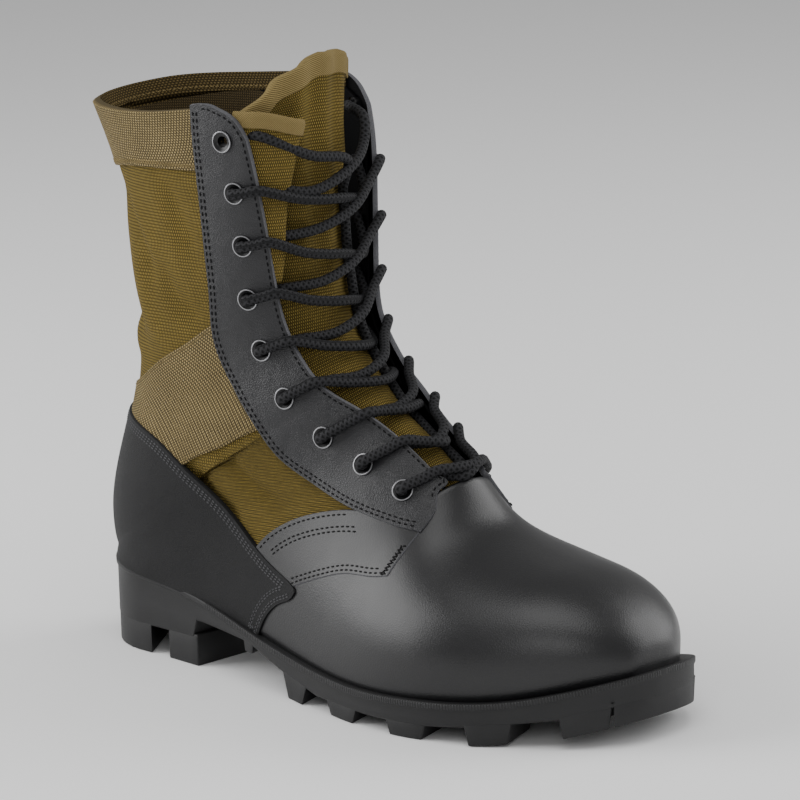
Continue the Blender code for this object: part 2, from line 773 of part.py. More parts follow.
def make_overlays(group, cutters, tools):
    """Leather and webbing skins, each cut from the form by its outline in side view."""
    whole = (-HALF_REACH, HALF_REACH)
    outer = (-HALF_REACH, -SIDE_FROM)
    inner = (SIDE_FROM, HALF_REACH)
    gap = JOINT_GAP / MM
    near = {
        "eyestay": prism("gap_eyestay", grown(EYESTAY, gap), *whole, cutters),
        "counter": prism("gap_counter", grown(COUNTER, gap), *whole, cutters),
        "wing": prism("gap_wing", grown(WING, gap), *whole, cutters),
    }
    table = [
        ("vamp", VAMP, whole, VAMP_THICK, LEATHER, ("eyestay", "counter", "wing"), ("throat", "sole")),
        ("counter", COUNTER, whole, COUNTER_THICK, COUNTER_LEATHER, (), ("sole",)),
        ("side_wing_outer", WING, outer, WING_THICK, LEATHER, ("eyestay", "counter"), ()),
        ("side_wing_inner", WING, inner, WING_THICK, LEATHER, ("eyestay", "counter"), ()),
        ("eyestay_outer", EYESTAY, outer, EYESTAY_THICK, LEATHER, (), ("throat", "holes_outer")),
        ("eyestay_inner", EYESTAY, inner, EYESTAY_THICK, LEATHER, (), ("throat", "holes_inner")),
        ("collar_band", COLLAR, whole, WEBBING_THICK, WEBBING, ("eyestay",), ("throat",)),
        ("ankle_strap", STRAP, whole, WEBBING_THICK, WEBBING, ("eyestay", "counter"), ("throat",)),
    ]
    for name, outline, reach, thickness, look, neighbours, others in table:
        piece = skin(name, GAP, GAP + thickness, look, group)
        cut(piece, prism("keep_" + name, outline, *reach, cutters), "INTERSECT")
        for neighbour in neighbours:
            cut(piece, near[neighbour])
        for other in others:
            cut(piece, tools[other])


def eyelet_profile():
    """Half section of an eyelet, radius then height above the form, from the top down outside."""
    seat = GAP + EYESTAY_THICK + EYELET_LIFT
    foot = -WALL - 0.4 * MM
    return [
        (BORE_RADIUS, seat + FLANGE_THICK), (FLANGE_RADIUS, seat), (BARREL_RADIUS, seat),
        (BARREL_RADIUS, foot), (BORE_RADIUS, foot),
    ]


def make_eyelets(group):
    profile = eyelet_profile()
    bm = bmesh.new()
    rings = []
    for i in range(EYELET_SIDES):
        angle = 2 * math.pi * i / EYELET_SIDES
        rings.append([bm.verts.new((r * math.cos(angle), r * math.sin(angle), h)) for r, h in profile])
    for i, ring in enumerate(rings):
        following = rings[(i + 1) % EYELET_SIDES]
        for j in range(len(profile)):
            k = (j + 1) % len(profile)
            bm.faces.new((ring[j], ring[k], following[k], following[j]))
    mesh = finished_mesh("eyelet", bm)
    mesh.materials.append(material(BRASS_BLACK))
    for side, word in ((-1, "outer"), (1, "inner")):
        for number, place in enumerate(EYELETS, 1):
            point, normal, up = frame_at(place.s, place.t, side)
            piece = bpy.data.objects.new(f"eyelet_{word}_{number}", mesh)
            piece.matrix_world = Matrix.Translation(point) @ normal.to_track_quat("Z", "Y").to_matrix().to_4x4()
            group.objects.link(piece)


def throat_edge(s, side):
    """The t of the throat's edge on one side of a section."""
    z = column(THROAT, "z")
    order = np.argsort(z)
    z_values = np.array(z)[order]
    t_values = np.linspace(0.5, 1, 101)
    points = surface(np.full(len(t_values), s), t_values, side) / MM
    half = np.interp(points[:, 2], z_values, np.array(column(THROAT, "half"))[order])
    middle = np.interp(points[:, 2], z_values, np.array(column(THROAT, "middle"))[order])
    inside = np.abs(points[:, 1] - middle) < half
    return float(t_values[np.argmax(inside)])


def throat_x(z):
    """The x of the throat's middle line at a height."""
    order = np.argsort(column(THROAT, "z"))
    return float(np.interp(z / MM, np.array(column(THROAT, "z"))[order], np.array(column(THROAT, "x"))[order])) * MM


def lace_end(number, side):
    """The lace's middle from its eyelet to the throat's edge."""
    place = EYELETS[number - 1]
    edge = throat_edge(place.s, side)
    seat = GAP + EYESTAY_THICK + EYELET_LIFT + FLANGE_THICK + LACE_CLEAR + LACE_RADIUS
    path = []
    for share, height in ((0, seat), (0.5, LACE_EDGE), (1.3, LACE_EDGE)):
        point, normal, up = frame_at(place.s, place.t + (edge - place.t) * share, side)
        path.append(point + normal * height)
    return path


def bar_path(number):
    """A level crossing between two eyelets, over both edges of the throat."""
    start, end = lace_end(number, -1), lace_end(number, 1)
    first, last = start[-1], end[-1]
    centre = (first + last) / 2
    ahead = max(LACE_AHEAD - (centre.x - throat_x(centre.z)), 0)
    inside = [first.lerp(last, share) + Vector((ahead, 0, 0)) for share in (0.25, 0.75)]
    return start + inside + end[::-1]


def strand(name, path, group):
    """A cord of lace along a path."""
    curve = bpy.data.curves.new(name, "CURVE")
    curve.dimensions = "3D"
    curve.bevel_depth = LACE_RADIUS
    curve.bevel_resolution = 0
    curve.use_fill_caps = True
    line = curve.splines.new("POLY")
    line.points.add(len(path) - 1)
    for point, place in zip(line.points, path):
        point.co = (*place, 1)
    rope = bpy.data.objects.new(name, curve)
    group.objects.link(rope)
    bpy.context.view_layer.update()
    ready = rope.evaluated_get(bpy.context.evaluated_depsgraph_get())
    mesh = bpy.data.meshes.new_from_object(ready)
    bpy.data.objects.remove(rope)
    bm = bmesh.new()
    bm.from_mesh(mesh)
    bmesh.ops.remove_doubles(bm, verts=bm.verts, dist=0.01 * MM)
    bm.to_mesh(mesh)
    bm.free()
    return mesh


def make_lace(group, cutters):
    """Level crossings with slanting ones between them, joined into one solid."""
    bars = {number: bar_path(number) for number in range(9, 1, -1)}
    paths = [bars[number] for number in range(8, 1, -1)]
    for number in range(9, 2, -1):
        low, high = bars[number][BAR_INNER], bars[number - 1][BAR_OUTER]
        beyond = (high - low).normalized() * LACE_RADIUS * 0.4
        paths.append([low - beyond, high + beyond])
    piece = add_object("lace", strand("lace", bars[9], group), LACE_CORD, group)
    bunch = bpy.data.collections.new("lace_strands")
    cutters.children.link(bunch)
    for number, path in enumerate(paths, 1):
        name = f"join_strand_{number}"
        cutter(name, strand(name, path, cutters), bunch)
    step = piece.modifiers.new("strands", "BOOLEAN")
    step.operation = "UNION"
    step.solver = "EXACT"
    step.operand_type = "COLLECTION"
    step.collection = bunch
    return piece


def main():
    for old in list(bpy.data.objects):
        bpy.data.objects.remove(old)
    group = bpy.data.collections.new("jungle_boot")
    cutters = bpy.data.collections.new("cutters")
    for made in (group, cutters):
        bpy.context.scene.collection.children.link(made)
    tools = {
        "throat": throat_cutter(cutters),
        "sole": sole_space(cutters),
        "holes_outer": hole_cutter(-1, cutters),
        "holes_inner": hole_cutter(1, cutters),
    }
    make_outsole(group, cutters)
    make_insole(group)
    make_upper(group, tools)
    make_overlays(group, cutters, tools)
    make_tongue(group)
    make_eyelets(group)
    make_lace(group, cutters)


main()
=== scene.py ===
"""The jungle boot's visible pieces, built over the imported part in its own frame.

Metres, +Z up, +X to the toe, +Y to the inner side. The upper's outer face is one family of
sections, surface(s, t, side), and every overlay is a patch drawn onto that face.
"""
import math
from collections import namedtuple

import bmesh
import bpy
import numpy as np
from mathutils import Matrix, Vector
from mathutils.bvhtree import BVHTree
from mathutils.interpolate import poly_3d_calc


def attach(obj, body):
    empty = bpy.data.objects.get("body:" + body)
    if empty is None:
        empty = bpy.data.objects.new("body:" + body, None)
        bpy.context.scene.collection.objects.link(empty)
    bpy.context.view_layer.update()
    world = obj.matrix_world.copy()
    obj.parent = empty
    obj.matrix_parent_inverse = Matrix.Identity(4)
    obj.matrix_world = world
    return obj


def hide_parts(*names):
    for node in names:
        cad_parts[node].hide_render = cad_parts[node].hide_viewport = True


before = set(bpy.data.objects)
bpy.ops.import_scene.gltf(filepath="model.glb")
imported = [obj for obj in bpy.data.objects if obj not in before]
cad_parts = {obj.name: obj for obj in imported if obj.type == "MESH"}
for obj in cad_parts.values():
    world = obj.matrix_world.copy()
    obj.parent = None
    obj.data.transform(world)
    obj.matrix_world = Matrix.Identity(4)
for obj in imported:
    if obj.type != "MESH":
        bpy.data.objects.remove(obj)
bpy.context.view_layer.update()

MM = 0.001

# Sole length and the ledge that shows round the upper
SOLE_BACK = -39 * MM
SOLE_TIP = 270 * MM
LEDGE_HEEL = 1.5 * MM
LEDGE_SIDE = 5.3 * MM
LEDGE_TOE = 6 * MM
LEDGE_GROWS = (0, 90 * MM)

# Rounded ends of the foot in plan, and the toe in side view
FOOT_BACK = SOLE_BACK + LEDGE_HEEL
FOOT_TIP = SOLE_TIP - LEDGE_TOE
HEEL_ROUND = 36 * MM
HEEL_POWER = 2.1
TOE_ROUND = 80 * MM
TOE_POWER = 2.25
TOE_TOP_ROUND = 44 * MM
TOE_TOP_POWER = 2.3
SWING_START = 120 * MM
SWING_TIP = 11 * MM

# The insole's share of the foot's width, and how far the upper sits in the sole
INSOLE_SHARE = 0.90
SEAT = 1.5 * MM

# Feather line, mm: half width to the outer and inner side, and height above the floor
Plan = namedtuple("Plan", "x outer inner height")
PLAN = [
    Plan(-38, 32.5, 33.5, 38.0),
    Plan(0, 34.5, 33.5, 35.5),
    Plan(40, 35, 31.5, 30.5),
    Plan(80, 39, 31, 22.5),
    Plan(120, 46, 34, 16.5),
    Plan(160, 53.5, 41, 14.5),
    Plan(190, 53.5, 46.5, 15.5),
    Plan(225, 46, 49.5, 18.0),
    Plan(262, 37, 50, 27.0),
]

# Sections, mm. s is 0 at the collar and 1 at the toe. Up to HEEL_S a section closes at the back of
# the boot, and past it both ends stand on the feather line. middle is the share of the depth where
# a section is widest, lower and upper are the powers of its two halves, ridge moves its front
# inward and tilt raises its inner side.
HEEL_S = 0.40
Section = namedtuple("Section", "s base_x base_z front_x front_z outer inner middle lower upper ridge tilt")
SECTIONS = [
    Section(0.00, -39.0, 243, 107, 262, 43, 43, 0.48, 2.1, 2.7, 0, 0.09),
    Section(0.07, -26.0, 216, 104, 236, 42, 42, 0.48, 2.1, 2.7, 0, 0.07),
    Section(0.14, -22.0, 185, 101, 208, 41, 41, 0.48, 2.1, 2.7, 0, 0.04),
    Section(0.21, -18.0, 151, 101, 183, 40, 40, 0.46, 2.1, 2.6, 0, 0.02),
    Section(0.27, -20.0, 121, 107, 164, 38, 38, 0.44, 2.1, 2.4, 0, 0),
    Section(0.31, -29.0, 96, 115, 156, 37, 37, 0.42, 2.1, 2.4, 0, 0),
    Section(0.36, -39.5, 60, 124, 149, 39, 39, 0.38, 2.1, 2.3, 0, 0),
    Section(0.40, -37.5, 38, 132, 142, 39, 39, 0.36, 2.1, 2.2, 0, 0),
    Section(0.50, 14.0, None, 148, 125, 37, 34, 0.32, 2.2, 2.0, 1, 0),
    Section(0.60, 68.0, None, 163, 107, 41, 36, 0.30, 2.2, 2.0, 2, 0),
    Section(0.70, 125.0, None, 176, 88, 50, 42, 0.28, 2.3, 2.0, 3, 0),
    Section(0.80, 183.0, None, 193, 74, 57, 50, 0.28, 2.3, 2.1, 3, 0),
    Section(0.90, 236.0, None, 236, 64, 49, 53, 0.34, 2.3, 2.2, 2, 0),
    Section(1.00, 264.0, None, 264, 62, 40, 50, 0.40, 2.3, 2.3, 0, 0),
]
WIDEST_SHARE = 0.985

# The throat, mm: the middle of the line between its two edges, half the opening, and how far its
# middle lies to the inner side
Throat = namedtuple("Throat", "x z half middle")
THROAT = [
    Throat(175, 93, 5, 2),
    Throat(172, 96, 10, 2),
    Throat(163, 104, 13.5, 1.5),
    Throat(145, 115, 14, 1),
    Throat(126, 125, 19, 0),
    Throat(110, 137, 25, 0),
    Throat(96.5, 152, 27, 0),
    Throat(90, 170, 28.5, 0),
    Throat(87.5, 195, 30.5, 0),
    Throat(88, 217, 34, 0),
    Throat(85.5, 242, 36, 0),
    Throat(84, 250, 38, 0),
    Throat(80, 256, 41, 0),
    Throat(76, 275, 44, 0),
]

# Eyelets, from the top down, by their place on the form
Eyelet = namedtuple("Eyelet", "s t")
EYELETS = [
    Eyelet(0.040, 0.631),
    Eyelet(0.100, 0.656),
    Eyelet(0.160, 0.678),
    Eyelet(0.223, 0.683),
    Eyelet(0.290, 0.690),
    Eyelet(0.372, 0.728),
    Eyelet(0.458, 0.610),
    Eyelet(0.540, 0.640),
    Eyelet(0.615, 0.705),
]

# Tongue, mm: places on the throat's middle line, half width, and how far the tongue's middle and
# edges stand in front of that line
TongueRow = namedtuple("TongueRow", "x z half crown edge middle")
TONGUE = [
    TongueRow(188, 77, 14, -4.5, -10, 3.5),
    TongueRow(176, 91, 18, -5, -14, 2.5),
    TongueRow(163, 104, 20, -4, -18, 1),
    TongueRow(145, 115, 19.5, -2, -18, 0.5),
    TongueRow(126, 125, 20, -1, -13.5, 0),
    TongueRow(110, 137, 23.5, 0, -11, 0),
    TongueRow(96.5, 152, 25.5, 0, -10, 0),
    TongueRow(90, 170, 27, 0, -10, 0),
    TongueRow(87.5, 195, 29, 0, -10, 0),
    TongueRow(88, 217, 32, 0, -10, 0),
    TongueRow(86.5, 242, 34, 0, -10, 0),
]

# The tongue's top edge, mm: place across the boot and height
TONGUE_TOP = [(-34, 250), (-28, 256), (-21, 263), (-10, 269), (0, 273), (15, 272.5), (27, 269), (34, 264)]

# Underside of the sole between its lugs, mm
Core = namedtuple("Core", "x z")
CORE = [
    Core(-39, 12.5),
    Core(35, 12.5),
    Core(37, 21),
    Core(75, 19),
    Core(100, 11.5),
    Core(127, 6),
    Core(168, 5.5),
    Core(190, 6),
    Core(210, 7.5),
    Core(245, 12.5),
    Core(270, 20),
]
SPRING_START = 205 * MM
SPRING_TIP = 11.5 * MM
LIP_STEP = 0.9 * MM
LUG_INSET = 0.25 * MM
LUG_SINK = 2 * MM
LUG_BEVEL = 0.7 * MM

# Side lugs, mm: where the lug starts and ends along the edge, how far it reaches inward as a share
# of the half width, how far its inner end lies back, and how much shorter it is at the floor
Lug = namedtuple("Lug", "start end reach rake taper bottom")
SIDE_LUGS = [
    Lug(72, 80, 0.35, 4, 1.0, 14.5),
    Lug(101, 120, 0.62, 10, 3.5, 0),
    Lug(134, 156, 0.62, 10, 3.0, 0),
    Lug(173, 195, 0.62, 10, 3.0, 0),
    Lug(211, 230, 0.60, 10, 3.0, None),
    Lug(246, 262, 0.55, 8, 2.0, None),
]
CENTRE_LUGS = [
    Lug(116, 130, 0.30, 9, 1.5, 0),
    Lug(153, 167, 0.30, 9, 1.5, 0),
    Lug(191, 205, 0.30, 9, 1.5, 0),
    Lug(227, 239, 0.28, 8, 1.5, None),
]
TIP_LUG = Lug(262, 269.4, 0.5, 0, 0, None)
HEEL_REAR = (-38.6, 4.5)
HEEL_FRONT = (16.5, 36.8)
HEEL_RAKE = 25


def spline(knots, values, at):
    """A natural cubic through values at knots, read at each of at."""
    knots = np.asarray(knots, float)
    values = np.asarray(values, float)
    count = len(knots)
    gap = np.diff(knots)
    matrix = np.zeros((count, count))
    right = np.zeros(count)
    matrix[0, 0] = 1
    matrix[-1, -1] = 1
    for i in range(1, count - 1):
        matrix[i, i - 1:i + 2] = gap[i - 1], 2 * (gap[i - 1] + gap[i]), gap[i]
        right[i] = 6 * ((values[i + 1] - values[i]) / gap[i] - (values[i] - values[i - 1]) / gap[i - 1])
    bend = np.linalg.solve(matrix, right)
    at = np.asarray(at, float)
    i = np.clip(np.searchsorted(knots, at) - 1, 0, count - 2)
    after = knots[i + 1] - at
    before = at - knots[i]
    step = gap[i]
    curved = (bend[i] * after ** 3 + bend[i + 1] * before ** 3) / (6 * step)
    start = (values[i] / step - bend[i] * step / 6) * after
    end = (values[i + 1] / step - bend[i + 1] * step / 6) * before
    return curved + start + end


def column(rows, name):
    return [getattr(row, name) for row in rows]


def smooth(value, start, end):
    """0 before start, 1 after end, with an eased rise between."""
    share = np.clip((np.asarray(value, float) - start) / (end - start), 0, 1)
    return share * share * (3 - 2 * share)


def plan(name, x):
    x = np.clip(np.asarray(x, float), SOLE_BACK, SOLE_TIP)
    return spline(column(PLAN, "x"), column(PLAN, name), x / MM) * MM


def round_end(x, start, end, power):
    """1 up to start, then down a rounded end to 0 at end."""
    reach = np.clip((np.asarray(x, float) - start) / (end - start), 0, 1)
    return (1 - reach ** power) ** (1 / power)


def half_width(x, side):
    """The feather line's half width on one side, rounded at heel and toe."""
    name = "inner" if side > 0 else "outer"
    heel = round_end(x, FOOT_BACK + HEEL_ROUND, FOOT_BACK, HEEL_POWER)
    toe = round_end(x, FOOT_TIP - TOE_ROUND, FOOT_TIP, TOE_POWER)
    return plan(name, x) * heel * toe


def swing(x):
    """How far the foot's middle line has turned inward at x."""
    along = np.clip((np.asarray(x, float) - SWING_START) / (SOLE_TIP - SWING_START), 0, 1.1)
    return SWING_TIP * along ** 1.5


def section_value(name, s):
    rows = [row for row in SECTIONS if getattr(row, name) is not None]
    return spline(column(rows, "s"), column(rows, name), s)


def bottom_x(s):
    rows = [row for row in SECTIONS if row.s >= HEEL_S]
    x = spline(column(rows, "s"), column(rows, "base_x"), s) * MM
    return np.clip(np.where(s < HEEL_S, FOOT_BACK, x), FOOT_BACK, FOOT_TIP)


def back_point(s):
    """Where a section starts: on the back line, or on the sole past the heel."""
    rows = [row for row in SECTIONS if row.s <= HEEL_S]
    knots = column(rows, "s")
    foot_x = bottom_x(s)
    x = np.where(s <= HEEL_S, spline(knots, column(rows, "base_x"), s) * MM, foot_x)
    z = np.where(s <= HEEL_S, spline(knots, column(rows, "base_z"), s) * MM, plan("height", foot_x))
    return x, z


def front_point(s):
    """Where a section ends: on the front line, over the vamp and down the toe."""
    x = np.minimum(section_value("front_x", s) * MM, FOOT_TIP)
    z = section_value("front_z", s) * MM
    floor = plan("height", x)
    rounding = round_end(x, FOOT_TIP - TOE_TOP_ROUND, FOOT_TIP, TOE_TOP_POWER)
    return x, np.where(x > FOOT_TIP - TOE_TOP_ROUND, floor + (z - floor) * rounding, z)


def surface(s, t, side):
    """The upper's outer face. t is 0 at the back line or the sole and 1 on the front line."""
    s, t = np.broadcast_arrays(np.asarray(s, float), np.asarray(t, float))
    back_x, back_z = back_point(s)
    front_x, front_z = front_point(s)
    toe = round_end(bottom_x(s), FOOT_TIP - TOE_ROUND, FOOT_TIP, TOE_POWER)
    wide = section_value("inner" if side > 0 else "outer", s) * MM * toe
    lower = section_value("lower", s)
    upper = section_value("upper", s)
    middle = section_value("middle", s)
    base = np.where(s > HEEL_S, half_width(bottom_x(s), side), 0)
    share = np.clip(base / np.maximum(wide, 1e-9), 0, WIDEST_SHARE)
    start = np.arcsin(share ** (lower / 2))
    drop = middle / np.maximum(np.cos(start), 1e-6) ** (2 / lower)
    turn = start + (math.pi - start) * t
    sine = np.clip(np.sin(turn), 0, 1)
    cosine = np.cos(turn)
    is_low = turn < math.pi / 2
    across = wide * np.where(is_low, sine ** (2 / lower), sine ** (2 / upper))
    low_rise = middle - drop * np.clip(cosine, 0, 1) ** (2 / lower)
    high_rise = middle + (1 - middle) * np.clip(-cosine, 0, 1) ** (2 / upper)
    rise = np.where(is_low, low_rise, high_rise)
    x = back_x + (front_x - back_x) * rise
    y = side * across + section_value("ridge", s) * MM * np.clip(rise, 0, 1)
    y = y + np.where(s > HEEL_S, swing(bottom_x(s)), 0)
    tilt = np.where(s < HEEL_S, section_value("tilt", s), 0)
    z = back_z + (front_z - back_z) * rise + y * tilt
    return np.stack([x, y, z], -1)


def sole_top(x):
    return plan("height", x) + SEAT


def sole_half(x, side):
    """Half width of the sole: the feather line and the ledge round it."""
    share = (np.asarray(x, float) - SOLE_BACK) / (SOLE_TIP - SOLE_BACK)
    width = half_width(FOOT_BACK + share * (FOOT_TIP - FOOT_BACK), side)
    ledge = LEDGE_HEEL + (LEDGE_SIDE - LEDGE_HEEL) * smooth(x, *LEDGE_GROWS)
    return width + ledge * np.minimum(1, width / (25 * MM))


def core_bottom(x):
    return np.interp(np.asarray(x, float) / MM, column(CORE, "x"), column(CORE, "z")) * MM


def floor_line(x):
    """The tread's own height: flat on the floor, then up into the toe spring."""
    share = np.clip((np.asarray(x, float) - SPRING_START) / (SOLE_TIP - SPRING_START), 0, 1)
    return SPRING_TIP * share ** 2


def add_block(bm, top, bottom):
    """A closed block between two outlines with the same number of corners."""
    upper = [bm.verts.new(point) for point in top]
    lower = [bm.verts.new(point) for point in bottom]
    bm.faces.new(upper)
    bm.faces.new(lower)
    for i in range(len(upper)):
        j = (i + 1) % len(upper)
        bm.faces.new((upper[i], upper[j], lower[j], lower[i]))


def edge_point(x, side, share=1.0):
    """A place in plan: share 1 is at the sole's edge, 0 on its middle line."""
    half = (float(sole_half(x, side)) - LIP_STEP - LUG_INSET) * share
    return x, float(swing(x)) + side * half


def block_ends(corners, lug):
    """Top and bottom outlines of a lug from its corners in plan. Each corner has its pull in x."""
    top = []
    bottom = []
    for (x, y), pull in corners:
        top.append((x, y, float(core_bottom(x)) + LUG_SINK))
        low_x = x + pull * lug.taper * MM
        low = float(floor_line(low_x)) if lug.bottom is None else lug.bottom * MM
        bottom.append((low_x, y, low))
    return top, bottom


def throat_value(name, z):
    """A column of the throat's table at heights in mm."""
    rows = sorted(THROAT, key=lambda row: row.z)
    return np.interp(z, column(rows, "z"), column(rows, name))


def throat_x(z):
    """The x of the throat's middle line at a height."""
    return float(throat_value("x", z / MM)) * MM


def tongue_top(y):
    return float(np.interp(y / MM, *zip(*TONGUE_TOP))) * MM


# How finely the form is sampled, and how far the heel is evened out
FORM_S = np.concatenate([
    np.linspace(-0.02, 0.385, 74), np.linspace(0.39, 0.43, 18),
    np.linspace(0.435, 0.95, 90), np.linspace(0.955, 1.0, 16),
])
FORM_T = 1 - np.linspace(1, 0, 91) ** 1.15
HEEL_EVENING = 14

# Offsets of the layers from the form, mm
SHAFT_NEAR, SHAFT_FAR = -2.0, 0.0
STRAP_FAR = 1.3
COLLAR_FAR = 1.5
VAMP_FAR = 1.4
WING_FAR = 1.9
COUNTER_FAR = 2.3
EYESTAY_FAR = 2.6
ROUND_EDGE = 0.6

# How far the nylon stops short of the throat's edge, as a share of a section, and the room left
# for an eyelet in the layers
SHAFT_SHY = 0.02
HOLE_CLEAR = 3.3 * MM

# The nylon's rows and columns, how its top corners are rounded at the throat, and how many of its
# columns are backed by leather inside
SHAFT_S = np.concatenate([np.linspace(0.012, 0.62, 150), [0.655, 0.69, 0.72]])
SHAFT_COLUMNS = 76
SHAFT_CORNER = 0.07
SHAFT_CORNER_S = 0.04
SHAFT_BACKED = 24

# Rows of stitches: distances from an edge, mm
COUNTER_TOP_ROWS = (2.4, 3.7, 5.0)
COUNTER_FRONT_ROWS = (1.8, 3.0, 6.2, 7.4)
WING_TOP_ROW = 2.2
WING_MIDDLE_ROWS = (7.4, 9.4)
WING_LOW_ROWS = (1.8, 3.8)
EYESTAY_BACK_ROWS = (1.7, 3.7)
EYESTAY_THROAT_ROW = 2.0
COLLAR_INNER_ROW = 6.5
STRAP_ROW = 1.6

# Overlay edges in side view, mm, x then z
COUNTER_TOP = [
    (-34, 111), (-24, 110), (-11, 108), (5, 105), (20, 101), (38, 91), (56, 80), (76, 64.5), (96, 54),
    (105, 50.5), (108.5, 48.5),
]
COUNTER_FRONT = [(81, 21), (86, 29), (92, 36), (100, 41), (107, 44.5), (109, 47.5)]
WING_TOP = [
    (78, 60), (83, 65.5), (90, 71), (99, 76), (116, 82), (132, 85), (150, 85.5), (161, 84), (168, 79),
]
WING_LOW = [(80, 44), (95, 45), (109, 50), (125, 56), (140, 60), (155, 61), (163.5, 62.5)]
WING_FRONT = [(163.5, 62.5), (166, 70), (168, 78)]
STRAP_TOP = [(-34, 117), (-16, 120), (5, 128), (20, 137), (39, 147), (57, 158), (66, 163)]
STRAP_LOW = [(-34, 102), (-11, 99), (20, 92), (33, 91), (40, 95), (56, 102), (72, 110), (86, 116)]
COLLAR_LOW = [(-40, 216), (-18, 219), (1, 222), (24, 224), (54, 225), (62, 225.5)]
EYESTAY_BACK = [
    (54, 239), (55, 222), (56, 204), (57, 186), (57.5, 169), (57, 156), (60, 142), (67, 130), (78, 116),
    (90, 103), (107, 94), (127, 87), (146, 83), (160, 80.5), (167, 79.5),
]
EYESTAY_END = [(166, -12, 95), (168.5, -17, 89), (169.5, -22, 84.5), (168.5, -27, 80)]
THROAT_END_S = 0.655
EYESTAY_TOP_S = -0.008
THROAT_MIDDLE_END = 2.0

# Points left out of a line where its two halves meet at the back
BACK_SKIP = 6

# Soft troughs and ridges of the nylon below the strap and on the shaft, mm: side view lines, how
# deep (a ridge is negative) and how wide
Crease = namedtuple("Crease", "line depth width")
CREASES = [
    Crease([(36, 92), (46, 85), (58, 77), (70, 72)], 4.6, 3.6),
    Crease([(44, 86), (55, 79), (66, 74), (80, 70)], -2.0, 3.6),
    Crease([(28, 90), (38, 80), (52, 70), (72, 62)], 4.2, 3.4),
    Crease([(56, 100), (68, 92), (82, 84), (98, 80)], 3.2, 3.6),
    Crease([(-14, 212), (2, 198), (14, 180), (18, 168)], 3.4, 6.0),
    Crease([(-2, 208), (12, 196), (24, 184)], -1.6, 6.0),
    Crease([(4, 186), (10, 168), (20, 150), (28, 146)], -2.2, 6.5),
    Crease([(24, 182), (34, 166), (52, 158)], 3.4, 5.4),
    Crease([(-24, 180), (-12, 162), (4, 146)], 3.6, 5.6),
    Crease([(-14, 150), (-2, 142), (10, 140)], -1.6, 5.0),
    Crease([(30, 218), (40, 202), (48, 184)], 2.8, 6.0),
]

CREASE_POINTS = 40

# Lace heights over the form, and how far each level crossing sags at the inner side, mm
LACE_SAGS = {2: 14, 3: 15, 4: 11, 5: 7, 6: 3, 7: 1, 8: 1}
LACE_OUT, LACE_HOLE, LACE_IN = 5.4, 1.0, -4.4
LACE_OVER, LACE_UNDER = 4.9, -4.4
LACE_AHEAD_MM = 7.0

# The lace's first and last places at the top, mm, and its way down the tongue: share along and across
LACE_START = [(93.5, -12, 231.5), (94.5, 9, 227)]
LACE_END = [(93.5, -12, 216), (95, 11, 224), (88.5, 25, 232), (85, 29, 242)]
LACE_DOWN = [(0.88, 0.50), (0.82, 0.58), (0.74, 0.62), (0.62, 0.62), (0.52, 0.62), (0.42, 0.62), (0.34, 0.6)]
LACE_OFF_TONGUE = (2.6, 0, 0.6)
LACE_RADIUS = 2.25
LACE_SIDES = 12
LACE_STEP = 0.9
BRAID_STRANDS = 8


def srgb(*values):
    """A colour given as eight-bit display values, in linear light."""
    shares = [value / 255 for value in values]
    return tuple(s / 12.92 if s <= 0.04045 else ((s + 0.055) / 1.055) ** 2.4 for s in shares) + (1.0,)


def unit(vectors):
    length = np.linalg.norm(vectors, axis=-1, keepdims=True)
    return vectors / np.maximum(length, 1e-12)


